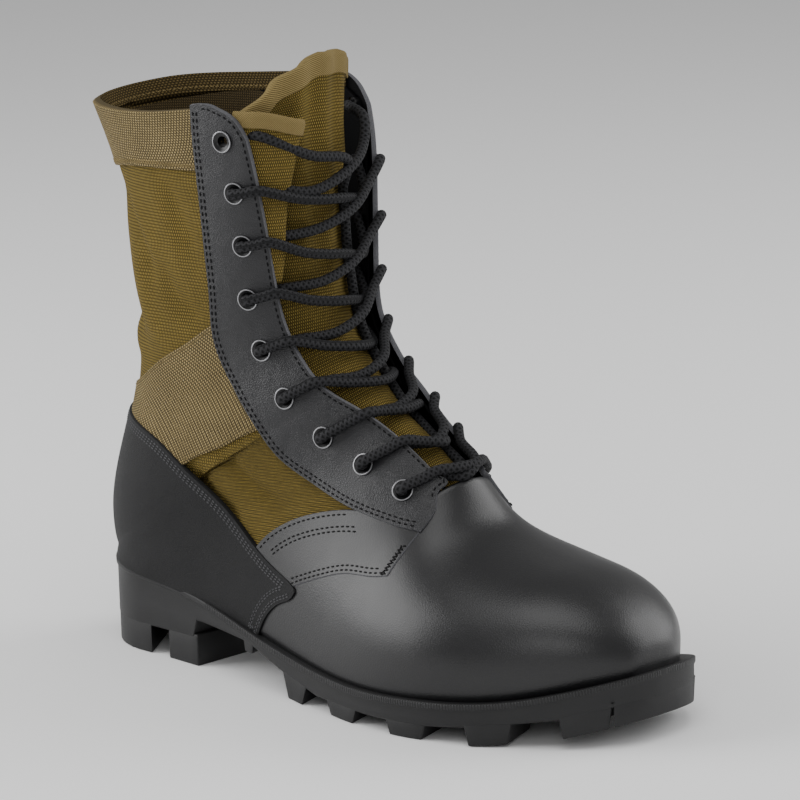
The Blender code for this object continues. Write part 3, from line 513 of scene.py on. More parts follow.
class Form:
    """The upper's outer face as a fine mesh, with smooth normals and lookups in 3-D and side view."""

    def __init__(self):
        rows = []
        for s in FORM_S:
            outer = surface(np.full(len(FORM_T), s), FORM_T, -1)
            inner = surface(np.full(len(FORM_T), s), FORM_T, 1)
            rows.append(np.concatenate([outer, inner[::-1][1:]]))
        self.points = np.array(rows)
        self.even_heel()
        self.make_normals()
        self.tree = self.lookup(self.points.reshape(-1, 3), 0, self.points.shape[1] - 1)
        flat = self.points.reshape(-1, 3) * (1, 0, 1)
        middle = len(FORM_T) - 1
        self.side_tree = {-1: self.lookup(flat, 0, middle), 1: self.lookup(flat, middle, 2 * middle)}

    def even_heel(self):
        """Spread the bunched rows at the heel without moving the boot's edges."""
        points = self.points
        weight = smooth(points[..., 0], 55 * MM, 15 * MM) * smooth(points[..., 2], 105 * MM, 75 * MM)
        weight = weight[1:-1, 1:-1, None] * 0.5
        for turn in range(HEEL_EVENING):
            around = (points[:-2, 1:-1] + points[2:, 1:-1] + points[1:-1, :-2] + points[1:-1, 2:]) / 4
            points[1:-1, 1:-1] += (around - points[1:-1, 1:-1]) * weight

    def make_normals(self):
        points = self.points
        count = len(FORM_T)
        faces = np.cross(points[:-1, 1:] - points[1:, :-1], points[1:, 1:] - points[:-1, :-1])
        normals = np.zeros_like(points)
        for i in (0, 1):
            for j in (0, 1):
                normals[i:len(points) - 1 + i, j:2 * count - 2 + j] += faces
        closed = FORM_S <= HEEL_S
        both = normals[closed, 0] + normals[closed, -1]
        normals[closed, 0] = both
        normals[closed, -1] = both
        normals = unit(normals)
        outward = points[..., 1:2] * normals[..., 1:2]
        if outward.sum() < 0:
            normals = -normals
        for turn in range(6):
            middle = normals[1:-1, 1:-1] * 2
            middle = middle + normals[:-2, 1:-1] + normals[2:, 1:-1] + normals[1:-1, :-2] + normals[1:-1, 2:]
            normals[1:-1, 1:-1] = unit(middle)
        self.normals = normals.reshape(-1, 3)

    def lookup(self, points, first, last):
        """A search tree over a range of columns, and its triangles."""
        rows, columns = self.points.shape[:2]
        triangles = []
        for i in range(rows - 1):
            for j in range(first, last):
                a = i * columns + j
                triangles.append((a, a + 1, a + columns + 1))
                triangles.append((a, a + columns + 1, a + columns))
        triangles = np.array(triangles)
        a, b, c = (points[triangles[:, k]] for k in range(3))
        area = np.linalg.norm(np.cross(b - a, c - a), axis=1)
        triangles = triangles[area > 1e-12]
        tree = BVHTree.FromPolygons([Vector(point) for point in points], triangles.tolist())
        return tree, triangles, points

    def read(self, lookup, place):
        """The form's point and normal at the nearest place of a search tree."""
        tree, triangles, points = lookup
        found, unused, index, distance = tree.find_nearest(place)
        corners = triangles[index]
        weights = poly_3d_calc([Vector(points[k]) for k in corners], found)
        flat = self.points.reshape(-1, 3)
        point = sum(flat[k] * w for k, w in zip(corners, weights))
        normal = sum(self.normals[k] * w for k, w in zip(corners, weights))
        return point, unit(normal)

    def near(self, points):
        """The nearest points of the form and their normals."""
        points = np.asarray(points, float)
        made = [self.read(self.tree, Vector(point)) for point in points.reshape(-1, 3)]
        found = np.array([point for point, normal in made]).reshape(points.shape)
        normals = np.array([normal for point, normal in made]).reshape(points.shape)
        return found, normals

    def beside(self, flat, side):
        """Points of one side of the form by their x and z, in mm."""
        return np.array([self.read(self.side_tree[side], Vector((x * MM, 0, z * MM)))[0] for x, z in flat])


FORM = Form()


def distances(line):
    """How far along a line each of its points lies."""
    return np.concatenate([[0], np.cumsum(np.linalg.norm(np.diff(line, axis=0), axis=1))])


def through(points, count=300):
    """A smooth line through points of two or three coordinates."""
    points = np.asarray(points, float)
    knots = distances(points)
    at = np.linspace(0, knots[-1], count)
    return np.stack([spline(knots, points[:, k], at) for k in range(points.shape[1])], -1)


def length_of(line):
    return float(np.linalg.norm(np.diff(line, axis=0), axis=1).sum())


def at_shares(line, shares):
    """Points of a line at shares of its length."""
    knots = distances(line)
    at = np.asarray(shares) * knots[-1]
    return np.stack([np.interp(at, knots, line[:, k]) for k in range(line.shape[1])], -1)


def spaced(length, step, edges=(True, True)):
    """Shares of a length, about a step apart, with a narrow one at each rounded edge. In metres."""
    edge = min(ROUND_EDGE * MM / length, 0.2)
    count = max(int(round(length / step)), 2)
    start = edge if edges[0] else 0
    end = 1 - edge if edges[1] else 1
    shares = list(np.linspace(start, end, count + 1))
    if edges[0]:
        shares = [0, edge * 0.35] + shares
    if edges[1]:
        shares = shares + [1 - edge * 0.35, 1]
    return np.array(shares)


def side_line(outline, side):
    return FORM.beside(through(outline), side)


def top_point(x, side):
    """Where the eyestay's top edge passes an x, in mm."""
    t = np.linspace(0, 1, 401)
    rim = surface(np.full(401, EYESTAY_TOP_S), t, side)
    return rim[np.argmin(np.abs(rim[:, 0] - x * MM))]


def edge_t(s, side):
    """The t of the throat's edge on one side of a section."""
    t_values = np.linspace(0.5, 1, 201)
    points = surface(np.full(len(t_values), s), t_values, side) / MM
    middle = throat_value("middle", points[:, 2])
    beyond = np.abs(points[:, 1] - middle) - throat_value("half", points[:, 2])
    first = max(int(np.argmax(beyond < 0)), 1)
    share = beyond[first - 1] / (beyond[first - 1] - beyond[first])
    return float(t_values[first - 1] + share * (t_values[1] - t_values[0]))


EDGE_S = np.concatenate([np.linspace(0, 0.64, 33), [THROAT_END_S]])
EDGE_T = {side: np.array([edge_t(s, side) for s in EDGE_S]) for side in (-1, 1)}
for side_key in EDGE_T:
    evened = EDGE_T[side_key]
    for evening_turn in range(3):
        evened[1:-1] = (evened[:-2] + evened[2:] + 2 * evened[1:-1]) / 4


def throat_t(s, side):
    return np.interp(s, EDGE_S, EDGE_T[side])


def fold_depth(points):
    """How far the nylon is pushed in at each point by its creases, in metres."""
    flat = points[..., [0, 2]].reshape(-1, 2) / MM
    total = np.zeros(len(flat))
    for crease in CREASES:
        line = through(crease.line, CREASE_POINTS)
        gaps = np.linalg.norm(flat[:, None, :] - line[None, :, :], axis=2)
        nearest = gaps.argmin(axis=1)
        along = nearest / (CREASE_POINTS - 1)
        fade = smooth(along, -0.15, 0.3) * smooth(along, 1.15, 0.7)
        total += crease.depth * fade * np.exp(-(gaps.min(axis=1) / crease.width) ** 2)
    return total.reshape(points.shape[:-1]) * MM


def grid_faces(rows, columns, wrap_rows=False, wrap_columns=False):
    """Four-cornered faces over a grid of points, closed round its rows or columns."""
    faces = []
    for i in range(rows if wrap_rows else rows - 1):
        below = (i + 1) % rows * columns
        for j in range(columns if wrap_columns else columns - 1):
            after = (j + 1) % columns
            faces.append((i * columns + j, i * columns + after, below + after, below + j))
    return faces


def tube_faces(rings, sides):
    """Faces of a closed tube, ring by ring, and its two ends."""
    last = (rings - 1) * sides
    ends = [tuple(range(sides - 1, -1, -1)), tuple(range(last, last + sides))]
    return grid_faces(rings, sides, wrap_columns=True) + ends


class Piece:
    """Collects the points, faces, material numbers and cloth coordinates of one visible piece."""

    def __init__(self, name, looks):
        self.name = name
        self.looks = looks
        self.points = []
        self.faces = []
        self.kinds = []
        self.cloth = []

    def add(self, points, faces, kind=0, cloth=None):
        start = len(self.points)
        self.points.extend(points)
        if cloth is None:
            cloth = np.zeros((len(points), 3))
        self.cloth.extend(cloth)
        for number, face in enumerate(faces):
            self.faces.append([start + corner for corner in face])
            self.kinds.append(kind if isinstance(kind, int) else kind[number])

    def finish(self, nodes, sharp=38, weld=0.004):
        mesh = bpy.data.meshes.new(self.name)
        mesh.from_pydata([tuple(point) for point in self.points], [], self.faces)
        for look in self.looks:
            mesh.materials.append(look)
        mesh.polygons.foreach_set("material_index", self.kinds)
        layer = mesh.attributes.new("cloth", "FLOAT_VECTOR", "POINT")
        layer.data.foreach_set("vector", np.array(self.cloth, np.float32).ravel())
        bm = bmesh.new()
        bm.from_mesh(mesh)
        bmesh.ops.remove_doubles(bm, verts=bm.verts, dist=weld * MM)
        bmesh.ops.recalc_face_normals(bm, faces=bm.faces)
        for face in bm.faces:
            face.smooth = True
        bm.to_mesh(mesh)
        bm.free()
        mesh.set_sharp_from_angle(angle=math.radians(sharp))
        piece = bpy.data.objects.new(self.name, mesh)
        bpy.context.scene.collection.objects.link(piece)
        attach(piece, "root")
        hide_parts(*nodes)
        return piece


def cloth_along(points, start_column, height=None):
    """Coordinates on a patch: the horizontal way along each row, and the height or the way down."""
    steps = np.linalg.norm(np.diff(points, axis=1), axis=2)
    along = np.concatenate([np.zeros((len(points), 1)), np.cumsum(steps, axis=1)], axis=1)
    along = along - along[:, start_column:start_column + 1]
    if height is None:
        down = np.linalg.norm(np.diff(points, axis=0), axis=2)
        height = np.concatenate([np.zeros((1, points.shape[1])), np.cumsum(down, axis=0)], axis=0)
    return np.stack([along, np.broadcast_to(height, along.shape), np.zeros_like(along)], -1)


def patch_normals(points, columns):
    """Normals of a grid of points, turned so that its first columns face the toe."""
    normals = unit(np.cross(np.gradient(points, axis=1), np.gradient(points, axis=0)))
    return -normals if normals[:, :columns, 0].sum() < 0 else normals


def shell(piece, points, normals, near, far, cloth=None, kinds=(0, 0, 0), holes=(), backed=0):
    """A wall over a patch with rounded borders. kinds: outer face, inner face, border. mm offsets.
    backed is how many columns at each side have the border's material on the inner face."""
    rows, columns = points.shape[:2]
    near = np.broadcast_to(np.asarray(near, float), (rows, columns)) * MM
    lift = np.full((rows, columns), far * MM)
    drop = (lift - near) * 0.5
    ends = [(slice(0, 1), slice(None)), (slice(-1, None), slice(None)),
            (slice(None), slice(0, 1)), (slice(None), slice(-1, None))]
    for end in ends:
        lift[end] = (near + drop)[end]
    ends = [(slice(1, 2), slice(1, -1)), (slice(-2, -1), slice(1, -1)),
            (slice(1, -1), slice(1, 2)), (slice(1, -1), slice(-2, -1))]
    for end in ends:
        lift[end] = (near + drop * 1.62)[end]
    outer = points + normals * lift[..., None]
    inner = points + normals * near[..., None]
    count = rows * columns
    faces = []
    numbers = []
    index = np.arange(count).reshape(rows, columns)
    hole_points = np.array(holes) if len(holes) else None
    for i in range(rows - 1):
        for j in range(columns - 1):
            if hole_points is not None:
                centre = (points[i, j] + points[i + 1, j + 1]) / 2
                if np.linalg.norm(hole_points - centre, axis=1).min() < HOLE_CLEAR:
                    continue
            a, b, c, d = index[i, j], index[i, j + 1], index[i + 1, j + 1], index[i + 1, j]
            border = i < 2 or j < 2 or i > rows - 4 or j > columns - 4
            faces.append((a, b, c, d))
            numbers.append(kinds[2] if border else kinds[0])
            faces.append((a + count, d + count, c + count, b + count))
            is_backed = j < backed or j > columns - 2 - backed
            numbers.append(kinds[2] if is_backed else kinds[1])
    around = list(index[0]) + list(index[1:, -1]) + list(index[-1, ::-1][1:]) + list(index[::-1, 0][1:])
    for a, b in zip(around, around[1:]):
        faces.append((b, a, a + count, b + count))
        numbers.append(kinds[2])
    if cloth is None:
        cloth = cloth_along(points, 0)
    cloth = cloth.reshape(-1, 3)
    piece.add(np.concatenate([outer.reshape(-1, 3), inner.reshape(-1, 3)]), faces, numbers,
              np.concatenate([cloth, cloth]))


def ladder(first, second, step_along, step_across, edges=(True, True, True, True)):
    """A patch between two lines, drawn onto the form. Rows run from the first line to the second."""
    along = spaced(max(length_of(first), length_of(second)), step_along * MM, edges[2:])
    top = at_shares(first, along)
    low = at_shares(second, along)
    width = np.linalg.norm(top - low, axis=1).max()
    across = spaced(width, step_across * MM, edges[:2])
    return FORM.near(top[None] + (low - top)[None] * across[:, None, None])


def both(outline):
    """A line in side view over both sides of the boot, from the outer side round the back."""
    return np.concatenate([side_line(outline, -1)[:BACK_SKIP:-1], side_line(outline, 1)[BACK_SKIP + 1:]])


def inside_line(line, toward, distance):
    """A line moved over the form by a distance in mm, in the direction of a second line."""
    other = at_shares(toward, np.linspace(0, 1, len(line)))
    along = np.gradient(line, axis=0)
    way = other - line
    way = way - along * ((way * along).sum(1) / np.maximum((along * along).sum(1), 1e-12))[:, None]
    return FORM.near(line + unit(way) * distance * MM)[0]


# A stitch's rings: place along it, width, and how far it sinks at its ends, as shares
STITCH_SHAPE = [(-0.5, 0.45, 0.5), (-0.36, 0.9, 0.15), (0, 1, 0), (0.36, 0.9, 0.15), (0.5, 0.45, 0.5)]
STITCH_SIDES = 6


def stitches(piece, line, kind, height, pitch=2.9, dash=1.9, radius=0.42, start=0.0, end=1.0):
    """A row of short threads along a line on the form, each slightly sunk into the piece."""
    rings, sides = len(STITCH_SHAPE), STITCH_SIDES
    faces = tube_faces(rings, sides)
    cloth = [(k // sides * dash / (rings - 1) * MM, k % sides / sides, 1) for k in range(rings * sides)]
    length = length_of(line) / MM
    count = max(int((end - start) * length / pitch), 1)
    middles = start + (np.arange(count) + 0.5) * pitch / length
    before = at_shares(line, np.clip(middles - dash / 2 / length, 0, 1))
    after = at_shares(line, np.clip(middles + dash / 2 / length, 0, 1))
    seats, normals = FORM.near((before + after) / 2)
    for a, b, seat, normal in zip(before, after, seats, normals):
        along = unit(b - a)
        side = np.cross(normal, along)
        middle = seat + normal * height * MM
        points = []
        for place, wide, low in STITCH_SHAPE:
            centre = middle + along * place * dash * MM - normal * low * radius * MM
            for corner in range(sides):
                angle = corner * 2 * math.pi / sides
                way = side * math.cos(angle) + normal * math.sin(angle)
                points.append(centre + way * radius * wide * MM)
        piece.add(points, faces, kind, cloth)


def zigzag(line, toward, low, high, pitch):
    """A line that swings between two distances from an edge, in mm."""
    count = int(length_of(line) / (pitch * MM))
    shares = np.linspace(0, 1, 2 * count + 1)
    base = at_shares(line, shares)
    aim = at_shares(toward, shares)
    distance = np.where(np.arange(len(shares)) % 2, low, high)[:, None] * MM
    return base + unit(aim - base) * distance


class Value:
    """A value inside a material's node tree, reckoned with like a number."""

    def __init__(self, graph, socket):
        self.graph = graph
        self.socket = socket

    def __add__(self, other):
        return self.graph.math("ADD", self, other)

    def __sub__(self, other):
        return self.graph.math("SUBTRACT", self, other)

    def __rsub__(self, other):
        return self.graph.math("SUBTRACT", other, self)

    def __mul__(self, other):
        return self.graph.math("MULTIPLY", self, other)

    def __truediv__(self, other):
        return self.graph.math("DIVIDE", self, other)

    def __pow__(self, other):
        return self.graph.math("POWER", self, other)


class Graph:
    """Builds one procedural material from short calls."""

    def __init__(self, name, roughness, **levels):
        self.material = bpy.data.materials.new(name)
        self.material.use_nodes = True
        self.tree = self.material.node_tree
        self.shader = self.tree.nodes["Principled BSDF"]
        self.shader.inputs["Roughness"].default_value = roughness
        for socket, value in levels.items():
            self.shader.inputs[socket.replace("_", " ")].default_value = value
        self.height = None

    def node(self, kind, *feeds, output=0):
        """A new node with its first inputs fed, and the value of one of its outputs."""
        made = self.tree.nodes.new("ShaderNode" + kind)
        for socket, value in zip(made.inputs, feeds):
            self.feed(socket, value)
        return made, Value(self, made.outputs[output])

    def feed(self, socket, value):
        if isinstance(value, Value):
            self.tree.links.new(value.socket, socket)
        else:
            socket.default_value = value

    def math(self, operation, first, second=0.0):
        node, value = self.node("Math", first, second)
        node.operation = operation
        return value

    def ridges(self, value):
        """A row of rounded ridges, one at each whole step of a value."""
        return self.math("ABSOLUTE", self.math("SINE", value * math.pi))

    def cloth(self):
        """The two coordinates of the piece's own cloth, in metres."""
        node, value = self.node("Attribute", output="Vector")
        node.attribute_name = "cloth"
        split, first = self.node("SeparateXYZ", value)
        return first, Value(self, split.outputs[1])

    def noise(self, scale, detail=3.0, roughness=0.55):
        node, value = self.node("TexNoise", self.node("TexCoord", output="Object")[1])
        node.inputs["Scale"].default_value = scale
        node.inputs["Detail"].default_value = detail
        node.inputs["Roughness"].default_value = roughness
        return value

    def cells(self, scale):
        node, value = self.node("TexVoronoi", self.node("TexCoord", output="Object")[1], output="Distance")
        node.feature = "DISTANCE_TO_EDGE"
        node.inputs["Scale"].default_value = scale
        return value

    def ramp(self, value, low, high):
        """A value's share of the way from low to high, held between 0 and 1."""
        return self.node("MapRange", value, low, high)[1]

    def colour(self, share, dark, bright):
        """The base colour, between two display colours."""
        node, value = self.node("Mix", output=2)
        node.data_type = "RGBA"
        self.feed(node.inputs[0], share)
        self.feed(node.inputs[6], srgb(*dark))
        self.feed(node.inputs[7], srgb(*bright))
        self.feed(self.shader.inputs["Base Color"], value)

    def rough(self, value, low, high):
        self.feed(self.shader.inputs["Roughness"], value * (high - low) + low)

    def bump(self, height, distance, strength=1.0):
        node, value = self.node("Bump")
        node.inputs["Strength"].default_value = strength
        node.inputs["Distance"].default_value = distance * MM
        self.feed(node.inputs["Height"], height)
        if self.height is not None:
            self.feed(node.inputs["Normal"], self.height)
        self.height = value
        self.feed(self.shader.inputs["Normal"], value)


def leather(name, dark, bright, roughness, grain=900, depth=0.12, coat=0.0, waves=0.5, shine=0.5):
    g = Graph(name, roughness, Specular_IOR_Level=shine, Coat_Weight=coat, Coat_Roughness=0.32)
    cells = g.ramp(g.cells(grain), 0.0, 0.30)
    patches = g.noise(45, 4)
    g.colour(cells * 0.45 + patches * 0.55, dark, bright)
    g.rough(patches, roughness - 0.06, roughness + 0.08)
    g.bump(cells, depth)
    g.bump(g.noise(2600, 2), depth * 0.4)
    g.bump(g.noise(40, 2), waves, 0.5)
    return g.material


def weave(name, along, rows, dark, bright, depth=0.3, power=0.8, thread=0.5):
    """A plain weave: rows of floats, each row half a float further along. Sizes in mm."""
    g = Graph(name, 0.88, Specular_IOR_Level=0.15)
    u, v = g.cloth()
    row = v / (rows * MM)
    place = u / (along * MM) + g.math("FLOOR", row) * 0.5
    float_height = g.math("COSINE", place * (2 * math.pi)) * thread + (1 - thread)
    height = g.ridges(row) ** power * float_height
    patches = g.ramp(g.noise(60, 3), 0.3, 0.7)
    fibres = g.noise(3000, 2)
    # The colour follows the threads' height: painted shade in the gaps between threads and lighter crowns,
    # with random tone from fibres and patches
    g.colour((height * 0.8 + fibres * 0.22) * (patches * 0.18 + 0.9), dark, bright)
    g.bump(height, depth)
    g.bump(fibres, depth * 0.2)
    return g.material


def twill(name, pitch, dark, bright):
    g = Graph(name, 0.88, Specular_IOR_Level=0.15)
    u, v = g.cloth()
    ridge = g.ridges(u / (pitch * MM) + v / (pitch * 0.8 * MM))
    height = ridge * 0.8 + g.noise(2600, 2) * 0.25
    # The colour follows the ridges' height: painted shade in the twill's furrows
    g.colour(height, dark, bright)
    g.bump(height, 0.25)
    return g.material


def rubber(name, dark, bright, roughness=0.55):
    g = Graph(name, roughness, Specular_IOR_Level=0.45)
    fine = g.noise(1800, 3)
    g.colour(g.noise(60, 4), dark, bright)
    g.rough(fine, roughness - 0.08, roughness + 0.12)
    g.bump(fine, 0.06)
    return g.material


def knurl(name, dark, bright, pitch=1.3):
    """Rubber with fine upright ribs along the cloth's first coordinate."""
    g = Graph(name, 0.5, Specular_IOR_Level=0.45)
    u, v = g.cloth()
    rib = g.math("SINE", u / (pitch * MM) * (2 * math.pi)) * 0.5 + 0.5
    # The colour follows the ribs: painted shade in the troughs between them and lighter crests
    g.colour(rib, dark, bright)
    g.bump(rib, 0.3)
    g.bump(g.noise(1800, 2), 0.05)
    return g.material


def braid(name, pitch, dark, bright):
    """Round braid: strands crossing in two directions, over and under in turn."""
    g = Graph(name, 0.75, Specular_IOR_Level=0.2)
    u, v = g.cloth()
    along = u / (pitch * MM)
    around = v * (BRAID_STRANDS / 2)
    over = g.math("SINE", along * (2 * math.pi)) * g.math("SINE", around * (2 * math.pi))
    share = g.ramp(over, -0.15, 0.15)
    height = g.ridges(along + around) * share + g.ridges(along - around) * (1.0 - share)
    # The colour follows the strands' height: painted shade where the strands dip under each other
    g.colour(height ** 1.6, dark, bright)
    g.bump(height, 0.7)
    g.bump(g.noise(3500, 2), 0.06)
    return g.material


def thread(name, dark, bright, turn=0.09):
    """Twisted thread. turn is its twist's length in mm."""
    g = Graph(name, 0.7, Specular_IOR_Level=0.2)
    u, v = g.cloth()
    share = g.math("SINE", u / (turn * MM) + v * 6.283) * 0.4 + 0.5
    # The colour follows the twist: painted shade in the grooves between the plies
    g.colour(share, dark, bright)
    g.bump(share, 0.05)
    return g.material


def metal(name, dark, bright, roughness, metallic):
    g = Graph(name, roughness, Metallic=metallic, Specular_IOR_Level=0.5)
    fine = g.noise(2200, 3)
    g.colour(g.noise(400, 3), dark, bright)
    g.rough(fine, roughness - 0.06, roughness + 0.08)
    g.bump(fine, 0.02)
    return g.material


# The materials, with their darkest and brightest display colours
SHINY = leather("leather_black", (9, 9, 11), (18, 18, 20), 0.36, depth=0.03, coat=0.1, waves=0.3)
SOFT = leather("leather_eyestay", (10, 10, 12), (25, 25, 29), 0.38, grain=1100, depth=0.08, waves=2.8)
RAW = leather("leather_raw_edge", (58, 58, 62), (98, 98, 102), 0.7, grain=1500)
MATT = leather("leather_matt", (7, 7, 8), (18, 18, 20), 0.62, grain=1700, depth=0.1, shine=0.28)
BACK = leather("leather_back", (3, 3, 4), (9, 9, 10), 0.8, grain=1700, depth=0.08, shine=0.1)
NYLON = weave("nylon_weave", 0.93, 1.35, (16, 13, 6), (184, 158, 80), 0.55, 1.3, 0.55)
WEBBING = weave("webbing_weave", 1.75, 1.1, (16, 13, 7), (198, 175, 122), 0.6, 1.2, 0.55)
# The collar's inside: the same webbing in darker colours, painted shade on the band's inner face
PAINTED_SHADE_WEBBING = weave("webbing_inner_painted_shade", 1.75, 1.1, (14, 11, 5), (118, 100, 60), 0.4, 1.1)
LINING = weave("lining_weave", 1.0, 1.1, (20, 16, 9), (92, 78, 50), 0.25)
SOCK = weave("sock_weave", 1.2, 1.3, (16, 14, 9), (56, 50, 34), 0.2)
TWILL = twill("binding_twill", 1.1, (34, 28, 12), (150, 131, 84))
RUBBER = rubber("rubber_black", (12, 12, 13), (24, 24, 25))
KNURL = knurl("rubber_knurled", (8, 8, 9), (30, 30, 31))
BRAID = braid("lace_braid", 2.4, (2, 2, 2), (45, 45, 47))
BLACK_THREAD = thread("thread_black", (1, 1, 2), (8, 8, 9))
GREY_THREAD = thread("thread_grey", (48, 48, 50), (92, 92, 94))
KHAKI_THREAD = thread("thread_khaki", (74, 62, 36), (146, 128, 84))
ENAMEL = metal("eyelet_enamel", (6, 6, 7), (16, 16, 17), 0.32, 0.2)
BRIGHT = metal("eyelet_rim", (120, 120, 122), (175, 175, 178), 0.3, 0.9)


def eyelet_places(side):
    """The middles of one side's eyelets on the form, and the normals there."""
    points = np.array([surface(np.array(place.s), np.array(place.t), side) for place in EYELETS])
    return FORM.near(points)


def shaft():
    """The nylon shaft with its lining, from the collar down under the leather."""
    sides = []
    for side in (-1, 1):
        rows = []
        for s in SHAFT_S:
            rounding = SHAFT_CORNER * max(1 - s / SHAFT_CORNER_S, 0) ** 2
            last = throat_t(min(s, THROAT_END_S), side) - SHAFT_SHY - rounding
            rows.append(surface(s, np.linspace(0, last, SHAFT_COLUMNS), side))
        found, normals = FORM.near(np.array(rows))
        found = found - normals * fold_depth(found)[..., None]
        sides.append((found, normals))
    (outer, outer_normals), (inner, inner_normals) = sides
    points = np.concatenate([outer[:, ::-1], inner[:, 1:]], axis=1)
    normals = np.concatenate([outer_normals[:, ::-1], inner_normals[:, 1:]], axis=1)
    flat = points * (1, 1, 0)
    cloth = cloth_along(flat, SHAFT_COLUMNS - 1, points[..., 2])
    piece = Piece("nylon_shaft", [NYLON, LINING, BACK])
    holes = np.concatenate([eyelet_places(-1)[0], eyelet_places(1)[0]])
    shell(piece, points, normals, SHAFT_NEAR, SHAFT_FAR, cloth, (0, 1, 2), holes, SHAFT_BACKED)
    return piece.finish(["upper"])


def vamp():
    """The smooth leather front, running under the eyestays, wings and counter."""
    columns = np.linspace(0, 1, 70)
    start = 0.60 + 0.045 * smooth(columns, 0.55, 0.8)
    rows = []
    for share in np.concatenate([[0, 0.004, 0.012], np.linspace(0.03, 1, 90)]):
        s = start + (1 - start) * share
        outer = surface(s, columns, -1)
        s_inner = s[::-1][1:]
        inner = surface(s_inner, columns[::-1][1:], 1)
        rows.append(np.concatenate([outer, inner]))
    points, normals = FORM.near(np.array(rows))
    piece = Piece("leather_vamp", [SHINY, LINING, SHINY])
    shell(piece, points, normals, -1.2, VAMP_FAR, None, (0, 1, 2))
    return piece.finish(["vamp"])


def counter():
    top = both(COUNTER_TOP)
    low_side = [(x, float(sole_top(x * MM)) / MM - 1.5) for x in np.linspace(-37.5, 79, 30)]
    fronts = {side: side_line(COUNTER_FRONT, side) for side in (-1, 1)}
    outer, inner = (np.concatenate([FORM.beside(low_side, side), fronts[side]]) for side in (-1, 1))
    low = np.concatenate([outer[::-1], inner[1:]])
    points, normals = ladder(top, low, 1.6, 1.6)
    piece = Piece("leather_counter", [MATT, LINING, MATT, GREY_THREAD])
    shell(piece, points, normals, 0.15, COUNTER_FAR, None, (0, 1, 2))
    for distance in COUNTER_TOP_ROWS:
        line = inside_line(top, low, distance)
        stitches(piece, line, 3, COUNTER_FAR - 0.05, pitch=2.3, dash=1.5, radius=0.36, start=0.02, end=0.98)
    for front in fronts.values():
        back = front - np.array([30, 0, 0]) * MM
        for distance in COUNTER_FRONT_ROWS:
            line = inside_line(front, back, distance)
            stitches(piece, line, 3, COUNTER_FAR - 0.05, pitch=2.3, dash=1.5, radius=0.36, end=0.93)
    return piece.finish(["counter"])


def wing(side, word):
    top = side_line(WING_TOP, side)
    low = side_line(WING_LOW, side)
    points, normals = ladder(top, low, 1.2, 1.2)
    piece = Piece("leather_wing_" + word, [SHINY, SHINY, RAW, BLACK_THREAD])
    shell(piece, points, normals, 0.15, WING_FAR, None, (0, 1, 2))
    stitches(piece, inside_line(top, low, WING_TOP_ROW), 3, WING_FAR, start=0.04, end=0.62)
    for distance in WING_MIDDLE_ROWS:
        stitches(piece, inside_line(top, low, distance), 3, WING_FAR, start=0.1, end=0.72)
    for distance in WING_LOW_ROWS:
        stitches(piece, inside_line(low, top, distance), 3, WING_FAR, start=0.3, end=0.98)
    front = side_line(WING_FRONT, side)
    back = front - np.array([20, 0, 0]) * MM
    stitches(piece, zigzag(front, back, 1.4, 4.2, 1.7), 3, WING_FAR, pitch=2.4, dash=1.9, end=0.75)
    return piece.finish(["side_wing_" + word])


def eyestay_lines(side):
    """The throat edge and the outer edge of one eyestay, from the collar down."""
    s_values = np.concatenate([np.linspace(EYESTAY_TOP_S, 0.03, 30), np.linspace(0.035, THROAT_END_S, 124)])
    turn = np.clip((EYESTAY_TOP_S + 0.026 - s_values) / 0.026, 0, 1)
    t_values = throat_t(s_values, side) - 0.062 * (1 - np.sqrt(1 - turn * turn))
    front = surface(s_values, t_values, side)
    rest = []
    for x, y, z in EYESTAY_END:
        across = y if side < 0 else 2 * THROAT_MIDDLE_END - y
        rest.append((x * MM, across * MM, z * MM))
    tail = through(np.concatenate([front[-12::4], rest]), 60)
    front = np.concatenate([front[:-12], tail])
    for turn in range(60):
        front[32:-62] = (front[31:-63] + 2 * front[32:-62] + front[33:-61]) / 4
    back = np.concatenate([top_point(54, side)[None], FORM.beside(EYESTAY_BACK, side), [rest[-1]]])
    return FORM.near(front)[0], FORM.near(through(back, 300))[0]


def eyestay(side, word):
    front, back = eyestay_lines(side)
    points, normals = ladder(front, back, 1.1, 1.1)
    piece = Piece("leather_eyestay_" + word, [SOFT, BACK, RAW, BLACK_THREAD])
    shell(piece, points, normals, 0.15, EYESTAY_FAR, None, (0, 1, 2), eyelet_places(side)[0])
    for distance in EYESTAY_BACK_ROWS:
        stitches(piece, inside_line(back, front, distance), 3, EYESTAY_FAR, start=0.01, end=0.985)
    stitches(piece, inside_line(front, back, EYESTAY_THROAT_ROW), 3, EYESTAY_FAR, start=0.01, end=0.93)
    return piece.finish(["eyestay_" + word])


def collar():
    """The webbing band round the top, folded over the rim."""
    low = both(COLLAR_LOW)
    rim = []
    for side in (-1, 1):
        t = np.linspace(0, 1, 400)
        line = surface(-0.014 + 0.012 * smooth(t, 0.15, 0.55), t, side)
        rim.append(line[line[:, 0] <= 62 * MM])
    top = np.concatenate([rim[0][::-1], rim[1][1:]])
    points, normals = ladder(top, low, 1.8, 1.4)
    near = np.where(np.arange(len(points)) < 9, -2.3, 0.15)[:, None]
    # The inner face takes the darker copy of the webbing: painted shade inside the collar
    piece = Piece("webbing_collar", [WEBBING, PAINTED_SHADE_WEBBING, WEBBING, KHAKI_THREAD])
    middle = points.shape[1] // 2
    shell(piece, points, normals, near, COLLAR_FAR, cloth_along(points, middle), (0, 1, 2))
    line = zigzag(low, top, 1.0, 3.4, 1.7)
    stitches(piece, line, 3, COLLAR_FAR, pitch=1.46, dash=1.4, radius=0.24)
    stitches(piece, inside_line(top, low, COLLAR_INNER_ROW), 3, -2.35, pitch=2.6, dash=1.8, radius=0.3)
    return piece.finish(["collar_band"])


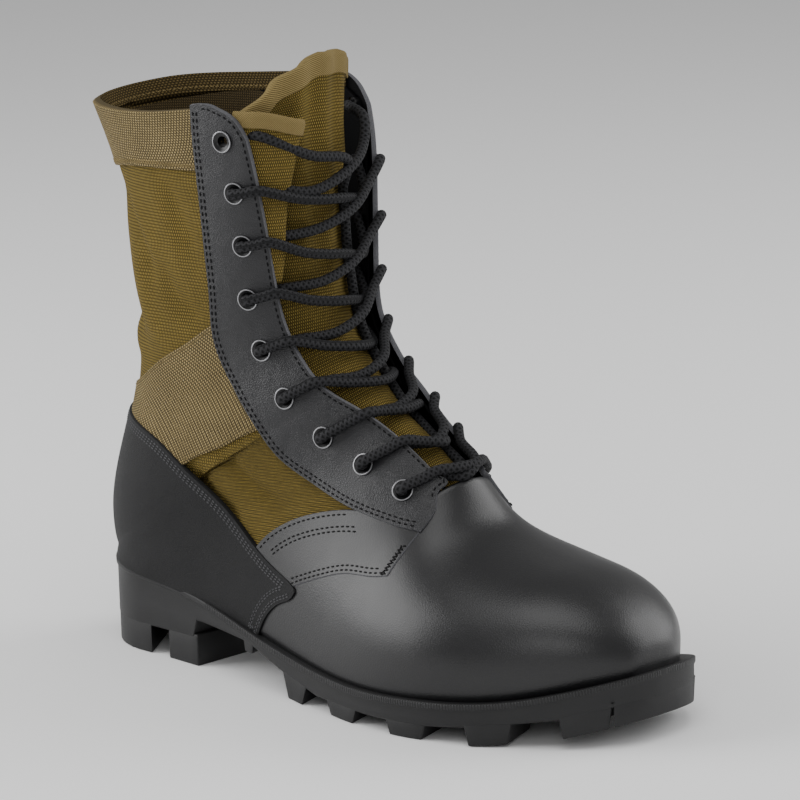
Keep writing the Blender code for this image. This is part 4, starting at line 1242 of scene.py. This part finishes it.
def strap():
    top, low = both(STRAP_TOP), both(STRAP_LOW)
    points, normals = ladder(top, low, 1.8, 1.6)
    piece = Piece("webbing_strap", [WEBBING, WEBBING, WEBBING, KHAKI_THREAD])
    middle = points.shape[1] // 2
    shell(piece, points, normals, 0.1, STRAP_FAR, cloth_along(points, middle), (0, 1, 2))
    for first, second in ((top, low), (low, top)):
        line = inside_line(first, second, STRAP_ROW)
        stitches(piece, line, 3, STRAP_FAR, pitch=2.2, dash=1.6, radius=0.26)
    return piece.finish(["ankle_strap"])


def tongue_row(share):
    """Values of the tongue table between its rows, share 0 at the toe end and 1 at the last row."""
    knots = np.linspace(0, 1, len(TONGUE))
    return [float(np.interp(share, knots, column(TONGUE, name))) for name in TongueRow._fields]


def tongue_place(share, across, rise=0.0):
    """A point of the tongue's front face. across runs from -1 to 1, rise from 0 to 1 above the rows."""
    x, z, half, crown, edge, middle = tongue_row(share)
    ahead = tongue_row(min(share + 0.02, 1))
    behind = tongue_row(max(share - 0.02, 0))
    way = unit(np.array([ahead[0] - behind[0], 0, ahead[1] - behind[1]]))
    out = np.array([way[2], 0, -way[0]])
    depth = crown + (edge - 3 - crown) * across ** 2
    narrow = 1 - 0.14 * float(smooth(share, 0.5, 0.9)) * (across > 0)
    y = middle + across * half * narrow
    pleats = 1.1 * math.cos(2 * math.pi * (y - 4) / 15) * float(smooth(share, 0.6, 0.9))
    point = np.array([x, y, z]) + out * (depth + pleats)
    if rise:
        top = float(tongue_top(y * MM)) / MM
        point = point + (np.array([point[0] + 2, y, top]) - point) * rise
    return point * MM


def tongue():
    rows = []
    across = np.linspace(-1, 1, 61)
    for share in np.linspace(0, 1, 90):
        rows.append([tongue_place(share, place) for place in across])
    for rise in np.linspace(0.07, 1, 15):
        rows.append([tongue_place(1, place, rise) for place in across])
    points = np.array(rows)
    normals = patch_normals(points, len(across))
    piece = Piece("cloth_tongue", [NYLON, LINING, NYLON, TWILL])
    cloth = cloth_along(points, 0, distances(points[:, len(across) // 2])[:, None])
    shell(piece, points, normals, -2.4, 0, cloth, (0, 1, 2))
    binding(piece, points[-1], points[-9], normals[-5])
    fold(piece)
    return piece.finish(["tongue"])


# The fold of cloth between the tongue and the outer eyestay, in plan, mm: at its top, and lower down
FOLD_TOP = [
    (74, -38), (82, -35), (88, -29), (92, -22), (93.5, -17.5), (92.5, -14.5), (90, -14.5), (87, -18),
    (83, -25),
]
FOLD_LOW = [
    (79, -36), (83.5, -34), (86.5, -31.5), (88.3, -28.5), (88.8, -27), (88.2, -26), (86.8, -26.5),
    (84.5, -28.5), (81.5, -31),
]
FOLD_HEIGHTS = (178, 251)
FOLD_COUNT = 60


def fold(piece):
    top = through(FOLD_TOP, FOLD_COUNT)
    low = through(FOLD_LOW, FOLD_COUNT)
    bottom, height = FOLD_HEIGHTS
    shares = np.linspace(0, 1, FOLD_COUNT)
    droop = 5 * smooth(shares, 0.2, 0.75)
    rows = []
    for share in shares:
        x, y = (low + (top - low) * share ** 1.4).T
        crease = 1.2 * math.sin(share * 9) * (1 - share)
        z = bottom + (height - bottom - droop) * share
        rows.append(np.stack([x + crease, y, z], -1) * MM)
    points = np.array(rows)
    normals = patch_normals(points, FOLD_COUNT // 2)
    shell(piece, points, normals, -0.7, 0, cloth_along(points, 0, points[..., 2]), (0, 0, 0))
    binding(piece, points[-1], points[-6], normals[-2], 6.0, 0.7)


def binding(piece, top, below, normals, depth=9.0, thick=2.4):
    """A twill band folded over the tongue's top edge."""
    down = unit(below - top)
    back = -thick - 1.1
    shape = [
        (depth, 0.6), (depth - 0.3, 0.9), (depth * 0.5, 1.0), (1.0, 0.95), (-0.2, 0.7), (-0.9, 0.0),
        (-1.1, -thick / 2), (-0.9, -thick), (-0.2, back + 0.3), (1.5, back), (depth - 0.3, back),
        (depth, back + 0.4),
    ]
    points = np.array([top + down * fall * MM + normals * out * MM for fall, out in shape])
    count = points.shape[1]
    faces = grid_faces(len(shape), count, wrap_rows=True)
    faces.append([i * count for i in range(len(shape))])
    faces.append([i * count + count - 1 for i in range(len(shape))][::-1])
    cloth = cloth_along(points, 0, distances(points[:, 20])[:, None])
    piece.add(points.reshape(-1, 3), faces, 3, cloth.reshape(-1, 3))


# An eyelet's turned outline, mm: radius and height over the eyestay, and its bright bands
EYELET_PROFILE = [
    (2.35, -2.7), (2.35, -0.4), (2.4, -0.1), (2.7, 0.15), (3.3, 0.35), (3.9, 0.62), (4.2, 0.78),
    (4.45, 0.82), (4.68, 0.74), (4.8, 0.5), (4.8, 0.0), (3.0, -0.1), (3.0, -4.9), (2.35, -4.9),
]
EYELET_BRIGHT = (6, 7, 8)
EYELET_TURNS = 28


def eyelets(side, word):
    piece = Piece("dished_eyelets_" + word, [ENAMEL, BRIGHT])
    places, normals = eyelet_places(side)
    turns = EYELET_TURNS
    faces = grid_faces(len(EYELET_PROFILE), turns, wrap_rows=True, wrap_columns=True)
    kinds = [1 if face[0] // turns in EYELET_BRIGHT else 0 for face in faces]
    for place, normal in zip(places, normals):
        first = unit(np.cross(normal, (0, 1, 0)))
        second = np.cross(normal, first)
        points = []
        for radius, height in EYELET_PROFILE:
            for turn in range(turns):
                angle = 2 * math.pi * turn / turns
                round_way = first * math.cos(angle) + second * math.sin(angle)
                points.append(place + (round_way * radius + normal * (height + EYESTAY_FAR)) * MM)
        piece.add(points, faces, kinds)
    names = [f"eyelet_{word}_{number}" for number in range(1, 10)]
    return piece.finish(names)


def smooth_path(points, step):
    """A centripetal curve through points, resampled at even steps."""
    points = np.asarray(points, float)
    points = np.concatenate([[2 * points[0] - points[1]], points, [2 * points[-1] - points[-2]]])
    made = []
    for i in range(1, len(points) - 2):
        p0, p1, p2, p3 = points[i - 1:i + 3]
        knots = [0.0]
        for a, b in ((p0, p1), (p1, p2), (p2, p3)):
            knots.append(knots[-1] + max(np.linalg.norm(b - a), 1e-6) ** 0.5)
        t0, t1, t2, t3 = knots
        for t in np.linspace(t1, t2, 12, endpoint=False):
            a1 = (t1 - t) / (t1 - t0) * p0 + (t - t0) / (t1 - t0) * p1
            a2 = (t2 - t) / (t2 - t1) * p1 + (t - t1) / (t2 - t1) * p2
            a3 = (t3 - t) / (t3 - t2) * p2 + (t - t2) / (t3 - t2) * p3
            b1 = (t2 - t) / (t2 - t0) * a1 + (t - t0) / (t2 - t0) * a2
            b2 = (t3 - t) / (t3 - t1) * a2 + (t - t1) / (t3 - t1) * a3
            made.append((t2 - t) / (t2 - t1) * b1 + (t - t1) / (t2 - t1) * b2)
    made.append(points[-2])
    made = np.array(made)
    count = int(length_of(made) / (step * MM))
    return at_shares(made, np.linspace(0, 1, count + 1))


def tube(piece, path, radius, sides):
    """A round cord along a path, with its length and turn as cloth coordinates."""
    along = unit(np.gradient(path, axis=0))
    side = unit(np.cross(along[0], (0.3, 0.9, 0.2)))
    points = []
    cloth = []
    distance = 0.0
    for i, (centre, way) in enumerate(zip(path, along)):
        side = unit(side - way * side.dot(way))
        other = np.cross(way, side)
        if i:
            distance += np.linalg.norm(path[i] - path[i - 1])
        for corner in range(sides):
            angle = 2 * math.pi * corner / sides
            points.append(centre + (side * math.cos(angle) + other * math.sin(angle)) * radius * MM)
            cloth.append((distance, corner / sides, 0))
    piece.add(points, tube_faces(len(path), sides), 0, cloth)


class LacePlaces:
    """Where the lace passes an eyelet or the throat's edge next to it."""

    def __init__(self, side):
        self.side = side
        self.holes, self.normals = eyelet_places(side)
        edges = [surface(np.array(place.s), throat_t(place.s, side), side) for place in EYELETS]
        self.edges, self.edge_normals = FORM.near(np.array(edges))

    def hole(self, number, height):
        return self.holes[number - 1] + self.normals[number - 1] * height * MM

    def between(self, number, share, height):
        point = self.holes[number - 1] + (self.edges[number - 1] - self.holes[number - 1]) * share
        return point + self.edge_normals[number - 1] * height * MM


def lace_path():
    """One lace: down behind the crossings, through the lowest eyelets and up in turns to the top."""
    outer, inner = LacePlaces(-1), LacePlaces(1)

    def out_hole(side, number):
        return [side.hole(number, LACE_OUT), side.hole(number, LACE_HOLE), side.hole(number, LACE_IN)]

    def over(side, number):
        return [side.between(number, 0.55, LACE_OVER + 0.2), side.between(number, 1.0, LACE_OVER - 1.1)]

    def under(side, number):
        return [side.between(number, 0.5, LACE_UNDER), side.between(number, 1.05, LACE_UNDER)]

    def ahead(centre, share):
        """A point of a crossing, brought in front of the tongue away from the throat's edges."""
        front = throat_x(centre[2]) + LACE_AHEAD_MM * MM
        spread = min(1.3 * (1 - abs(2 * share - 1)), 1)
        centre[0] = max(centre[0], centre[0] + (front - centre[0]) * spread)
        return centre

    def level(number):
        """From over the outer edge to under the inner one, sagging on the way."""
        start, end = outer.between(number, 1, LACE_OVER), inner.between(number, 1.08, LACE_UNDER)
        down = np.array((0, 0, LACE_SAGS[number] * MM))
        shares = (0.3, 0.62, 1.0)
        return [ahead(start + (end - start) * share - down * share ** 0.6, share) for share in shares]

    def slant(number):
        """From under the outer edge, level at first, then up and over the inner edge."""
        start, end = outer.between(number + 1, 1, LACE_UNDER), inner.between(number, 1.08, LACE_OVER - 1.6)
        made = []
        for share in (0.3, 0.6, 0.85):
            point = start + (end - start) * share
            point[2] = start[2] + (end[2] - start[2]) * share ** 2.1
            made.append(ahead(point, share))
        return made

    path = [outer.hole(1, LACE_IN - 1), outer.between(1, 0.7, LACE_UNDER), outer.between(1, 1.3, -2.5)]
    path += list(np.array(LACE_START) * MM)
    path += [tongue_place(share, place) + np.array(LACE_OFF_TONGUE) * MM for share, place in LACE_DOWN]
    path += [inner.between(9, 1.2, -5.0)] + out_hole(inner, 9)[::-1]
    path += over(inner, 9)
    start, end = inner.between(9, 1, LACE_OVER), outer.between(9, 1, LACE_OVER)
    path += [ahead(start + (end - start) * share, share) for share in (0.33, 0.67)]
    path += over(outer, 9)[::-1] + out_hole(outer, 9)
    for number in range(8, 0, -1):
        path += under(outer, number + 1)
        if number > 1:
            path += slant(number) + over(inner, number)[::-1] + out_hole(inner, number)
            path += [inner.between(number, 0.5, LACE_UNDER - 1)]
            path += level(number)[::-1] + over(outer, number)[::-1] + out_hole(outer, number)
    path += list(np.array(LACE_END) * MM) + [inner.hole(1, LACE_IN - 1)]
    return smooth_path(path, LACE_STEP)


def lace():
    piece = Piece("braided_lace", [BRAID])
    tube(piece, lace_path(), LACE_RADIUS, LACE_SIDES)
    return piece.finish(["lace"], sharp=60)


# The ledge's section, mm: inward from the sole's edge and down, and where its ribs start
SOLE_SECTION = [
    (-5.0, 0.0), (-1.2, 0.1), (-0.35, 0.0), (0, -0.35), (0, -1.1), (0, -1.9), (-0.1, -2.5),
    (-0.5, -2.9), (-0.95, -3.5),
]
KNURL_START = 45 * MM

# The rounded lower corner of the core, mm: inward from its wall and up from its bottom
CORE_CORNER = [(0, 1.2), (0.4, 0.35), (1.3, 0)]


def eased_shares(count, gap):
    """Shares from 0 to 1, closer together at both ends."""
    return (1 - np.cos(np.linspace(gap, math.pi - gap, count))) / 2


def outsole():
    """The core with its lip, and the lugs as bevelled blocks."""
    piece = Piece("moulded_sole", [RUBBER, KNURL])
    x_values = SOLE_BACK + (SOLE_TIP - SOLE_BACK) * eased_shares(150, 0.012)
    rows = []
    for x in x_values:
        halves = {side: float(sole_half(x, side)) for side in (-1, 1)}
        middle, top, bottom = float(swing(x)), float(sole_top(x)), float(core_bottom(x))
        ring = []
        for side in (-1, 1):
            half = halves[side]
            squeeze = min(1, half / (9 * MM))
            part = []
            for inward, down in SOLE_SECTION:
                part.append((x, middle + side * (half + inward * squeeze * MM), top + down * MM))
            wall = half - 0.95 * squeeze * MM
            part.append((x, middle + side * wall, (top + bottom) / 2 - 1.5 * MM))
            for inward, up in CORE_CORNER:
                part.append((x, middle + side * (wall - inward * squeeze * MM), bottom + up * MM))
            ring += part if side < 0 else part[::-1]
        rows.append(ring)
    points = np.array(rows)
    rows_count, columns = points.shape[:2]
    steps = np.linalg.norm(np.diff(points, axis=0), axis=2)
    along = np.concatenate([np.zeros((1, columns)), np.cumsum(steps, axis=0)], axis=0)
    cloth = np.stack([along, points[..., 2], np.zeros_like(along)], -1).reshape(-1, 3)
    faces = grid_faces(rows_count, columns, wrap_columns=True)
    knurled = [2, 3, 4, 5, columns - 4, columns - 5, columns - 6, columns - 7]
    kinds = []
    for row, place in (divmod(face[0], columns) for face in faces):
        kinds.append(1 if place in knurled and points[row, 0, 0] > KNURL_START else 0)
    faces.append(tuple(range(columns)))
    faces.append(tuple(range(rows_count * columns - 1, (rows_count - 1) * columns - 1, -1)))
    kinds += [0, 0]
    piece.add(points.reshape(-1, 3), faces, kinds, cloth)
    made = piece.finish(["outsole"], sharp=50)
    lugs = tread()
    bm = bmesh.new()
    bm.from_mesh(made.data)
    bm.from_mesh(lugs)
    bm.to_mesh(made.data)
    bm.free()
    bpy.data.meshes.remove(lugs)
    made.data.set_sharp_from_angle(angle=math.radians(50))
    return made


def side_lug_corners(lug, side):
    start, end = lug.start * MM, lug.end * MM
    back = lug.rake * MM
    places = zip(np.linspace(start, end, 5), np.linspace(1, -1, 5))
    outline = [(edge_point(x, side), pull) for x, pull in places]
    outline.append((edge_point(end - back, side, 1 - lug.reach), -1))
    outline.append((edge_point(start - back, side, 1 - lug.reach), 1))
    return outline


def centre_lug_corners(lug):
    start, end = lug.start * MM, lug.end * MM
    back = lug.rake * MM
    return [
        (edge_point(start, -1, lug.reach), 1), (edge_point(start - back, -1, 0), 1),
        (edge_point(start, 1, lug.reach), 1), (edge_point(end, 1, lug.reach), -1),
        (edge_point(end - back, 1, 0), -1), (edge_point(end, -1, lug.reach), -1),
    ]


def heel_corners():
    """The rear block round the heel, and the front block behind the arch."""
    rear_back, rear_front = HEEL_REAR
    curve = rear_back + (rear_front - rear_back) * np.linspace(0, 1, 17) ** 2
    outer = [(edge_point(x * MM, -1), 0) for x in curve[::-1]]
    inner = [(edge_point(x * MM, 1), 0) for x in curve]
    rear = outer + inner[1:] + [(edge_point((rear_front - HEEL_RAKE) * MM, -1, 0), 0)]
    back, front = HEEL_FRONT
    sides = np.linspace(back, front, 5)
    block = [(edge_point(x * MM, -1), 0) for x in sides] + [(edge_point(x * MM, 1), 0) for x in sides[::-1]]
    block.append((edge_point((back - HEEL_RAKE) * MM, -1, 0), 0))
    return rear, block


def tread():
    """All lugs in one mesh, with their edges bevelled."""
    bm = bmesh.new()
    for lug in SIDE_LUGS:
        for side in (-1, 1):
            add_block(bm, *block_ends(side_lug_corners(lug, side), lug))
    for lug in CENTRE_LUGS:
        add_block(bm, *block_ends(centre_lug_corners(lug), lug))
    lug = TIP_LUG
    start, end = lug.start * MM, lug.end * MM
    tip = [(edge_point(start, -1, 0.62), 0), (edge_point(start, 1, 0.62), 0)]
    tip += [(edge_point(x, 1), 0) for x in np.linspace(start, end, 6)]
    tip += [(edge_point(x, -1), 0) for x in np.linspace(end, start, 6)]
    add_block(bm, *block_ends(tip, lug))
    heel = Lug(0, 0, 1, HEEL_RAKE, 0, 0)
    rear, block = heel_corners()
    add_block(bm, *block_ends(rear, heel))
    top, bottom = block_ends(block, heel)
    ceiling = float(core_bottom(0)) + LUG_SINK
    add_block(bm, [(x, y, ceiling) for x, y, z in top], bottom)
    bmesh.ops.remove_doubles(bm, verts=bm.verts, dist=0.02 * MM)
    bmesh.ops.recalc_face_normals(bm, faces=bm.faces)
    sharp = [edge for edge in bm.edges if len(edge.link_faces) == 2 and edge.calc_face_angle() > 0.5]
    bmesh.ops.bevel(
        bm, geom=sharp, offset=LUG_BEVEL, segments=2, profile=0.5, affect="EDGES", clamp_overlap=True,
    )
    for face in bm.faces:
        face.smooth = True
    mesh = bpy.data.meshes.new("tread")
    bm.to_mesh(mesh)
    bm.free()
    return mesh


def insole():
    piece = Piece("sock_sheet", [SOCK])
    back, tip = FOOT_BACK + 5.1 * MM, FOOT_TIP - 5.1 * MM
    rows = []
    for share in eased_shares(70, 0.02):
        x = back + share * (tip - back)
        foot = FOOT_BACK + share * (FOOT_TIP - FOOT_BACK)
        row = []
        for across in np.linspace(-1, 1, 31):
            width = float(half_width(foot, 1 if across > 0 else -1)) * INSOLE_SHARE
            rise = 1.5 * across ** 4
            row.append((x, float(swing(x)) + across * width, float(sole_top(x)) + (3.2 + rise) * MM))
        rows.append(row)
    points = np.array(rows)
    normals = np.zeros_like(points)
    normals[..., 2] = 1
    shell(piece, points, normals, -2.6, 0, None, (0, 0, 0))
    return piece.finish(["insole"])


# The camera: where it looks, its turn, height and tilt in degrees, its distance and its lens in mm
CAMERA_TARGET = Vector((0.1168, 0.0147, 0.1230))
CAMERA_ANGLES = (45.05, 12.19, -1.567)
CAMERA_DISTANCE = 1.8
CAMERA_LENS = 186.92


def camera():
    azimuth, elevation, roll = (math.radians(angle) for angle in CAMERA_ANGLES)
    level = Vector((math.sin(azimuth), -math.cos(azimuth), 0))
    back = level * math.cos(elevation) + Vector((0, 0, math.sin(elevation)))
    right = Vector((math.cos(azimuth), math.sin(azimuth), 0))
    up = back.cross(right)
    turned = right * math.cos(roll) + up * math.sin(roll)
    raised = up * math.cos(roll) - right * math.sin(roll)
    data = bpy.data.cameras.new("camera")
    data.sensor_width = 36
    data.lens = CAMERA_LENS
    made = bpy.data.objects.new("camera", data)
    facing = Matrix((turned, raised, back)).transposed().to_4x4()
    made.matrix_world = Matrix.Translation(CAMERA_TARGET + back * CAMERA_DISTANCE) @ facing
    bpy.context.scene.collection.objects.link(made)
    bpy.context.scene.camera = made


# Soft lights: name, place, size and power
Light = namedtuple("Light", "name place size power")
LIGHTS = [
    Light("left", (-1.15, -1.05, 0.85), 1.4, 27),
    Light("right", (0.95, 1.45, 0.80), 1.4, 19),
    Light("overhead", (0.6, -0.5, 1.9), 1.4, 14),
    Light("front", (1.5, -1.6, 1.0), 1.0, 8),
]
LIGHTS_AIM = Vector((0.1, 0, 0.12))
SKY_STRENGTH = 0.42


def lights():
    for light in LIGHTS:
        data = bpy.data.lights.new(light.name, "AREA")
        data.size = light.size
        data.energy = light.power
        made = bpy.data.objects.new(light.name, data)
        made.location = light.place
        way = LIGHTS_AIM - Vector(light.place)
        made.rotation_mode = "QUATERNION"
        made.rotation_quaternion = way.to_track_quat("-Z", "Y")
        bpy.context.scene.collection.objects.link(made)
    world = bpy.data.worlds.new("studio")
    world.use_nodes = True
    world.node_tree.nodes["Background"].inputs[0].default_value = (1, 1, 1, 1)
    world.node_tree.nodes["Background"].inputs[1].default_value = SKY_STRENGTH
    bpy.context.scene.world = world


FLOOR_COLOUR = (0.93, 0.93, 0.93, 1)
FLOOR_REACH = 9


def floor():
    mesh = bpy.data.meshes.new("floor")
    corners = [(-FLOOR_REACH, -FLOOR_REACH, 0), (FLOOR_REACH, -FLOOR_REACH, 0)]
    corners += [(FLOOR_REACH, FLOOR_REACH, 0), (-FLOOR_REACH, FLOOR_REACH, 0)]
    mesh.from_pydata(corners, [], [(0, 1, 2, 3)])
    g = Graph("floor_pale", 0.9, Specular_IOR_Level=0.1)
    g.feed(g.shader.inputs["Base Color"], FLOOR_COLOUR)
    mesh.materials.append(g.material)
    made = bpy.data.objects.new("floor", mesh)
    bpy.context.scene.collection.objects.link(made)


SIDES = ((-1, "outer"), (1, "inner"))


def main():
    shaft()
    vamp()
    counter()
    for side, word in SIDES:
        wing(side, word)
        eyestay(side, word)
        eyelets(side, word)
    collar()
    strap()
    tongue()
    lace()
    outsole()
    insole()
    camera()
    lights()
    floor()


main()
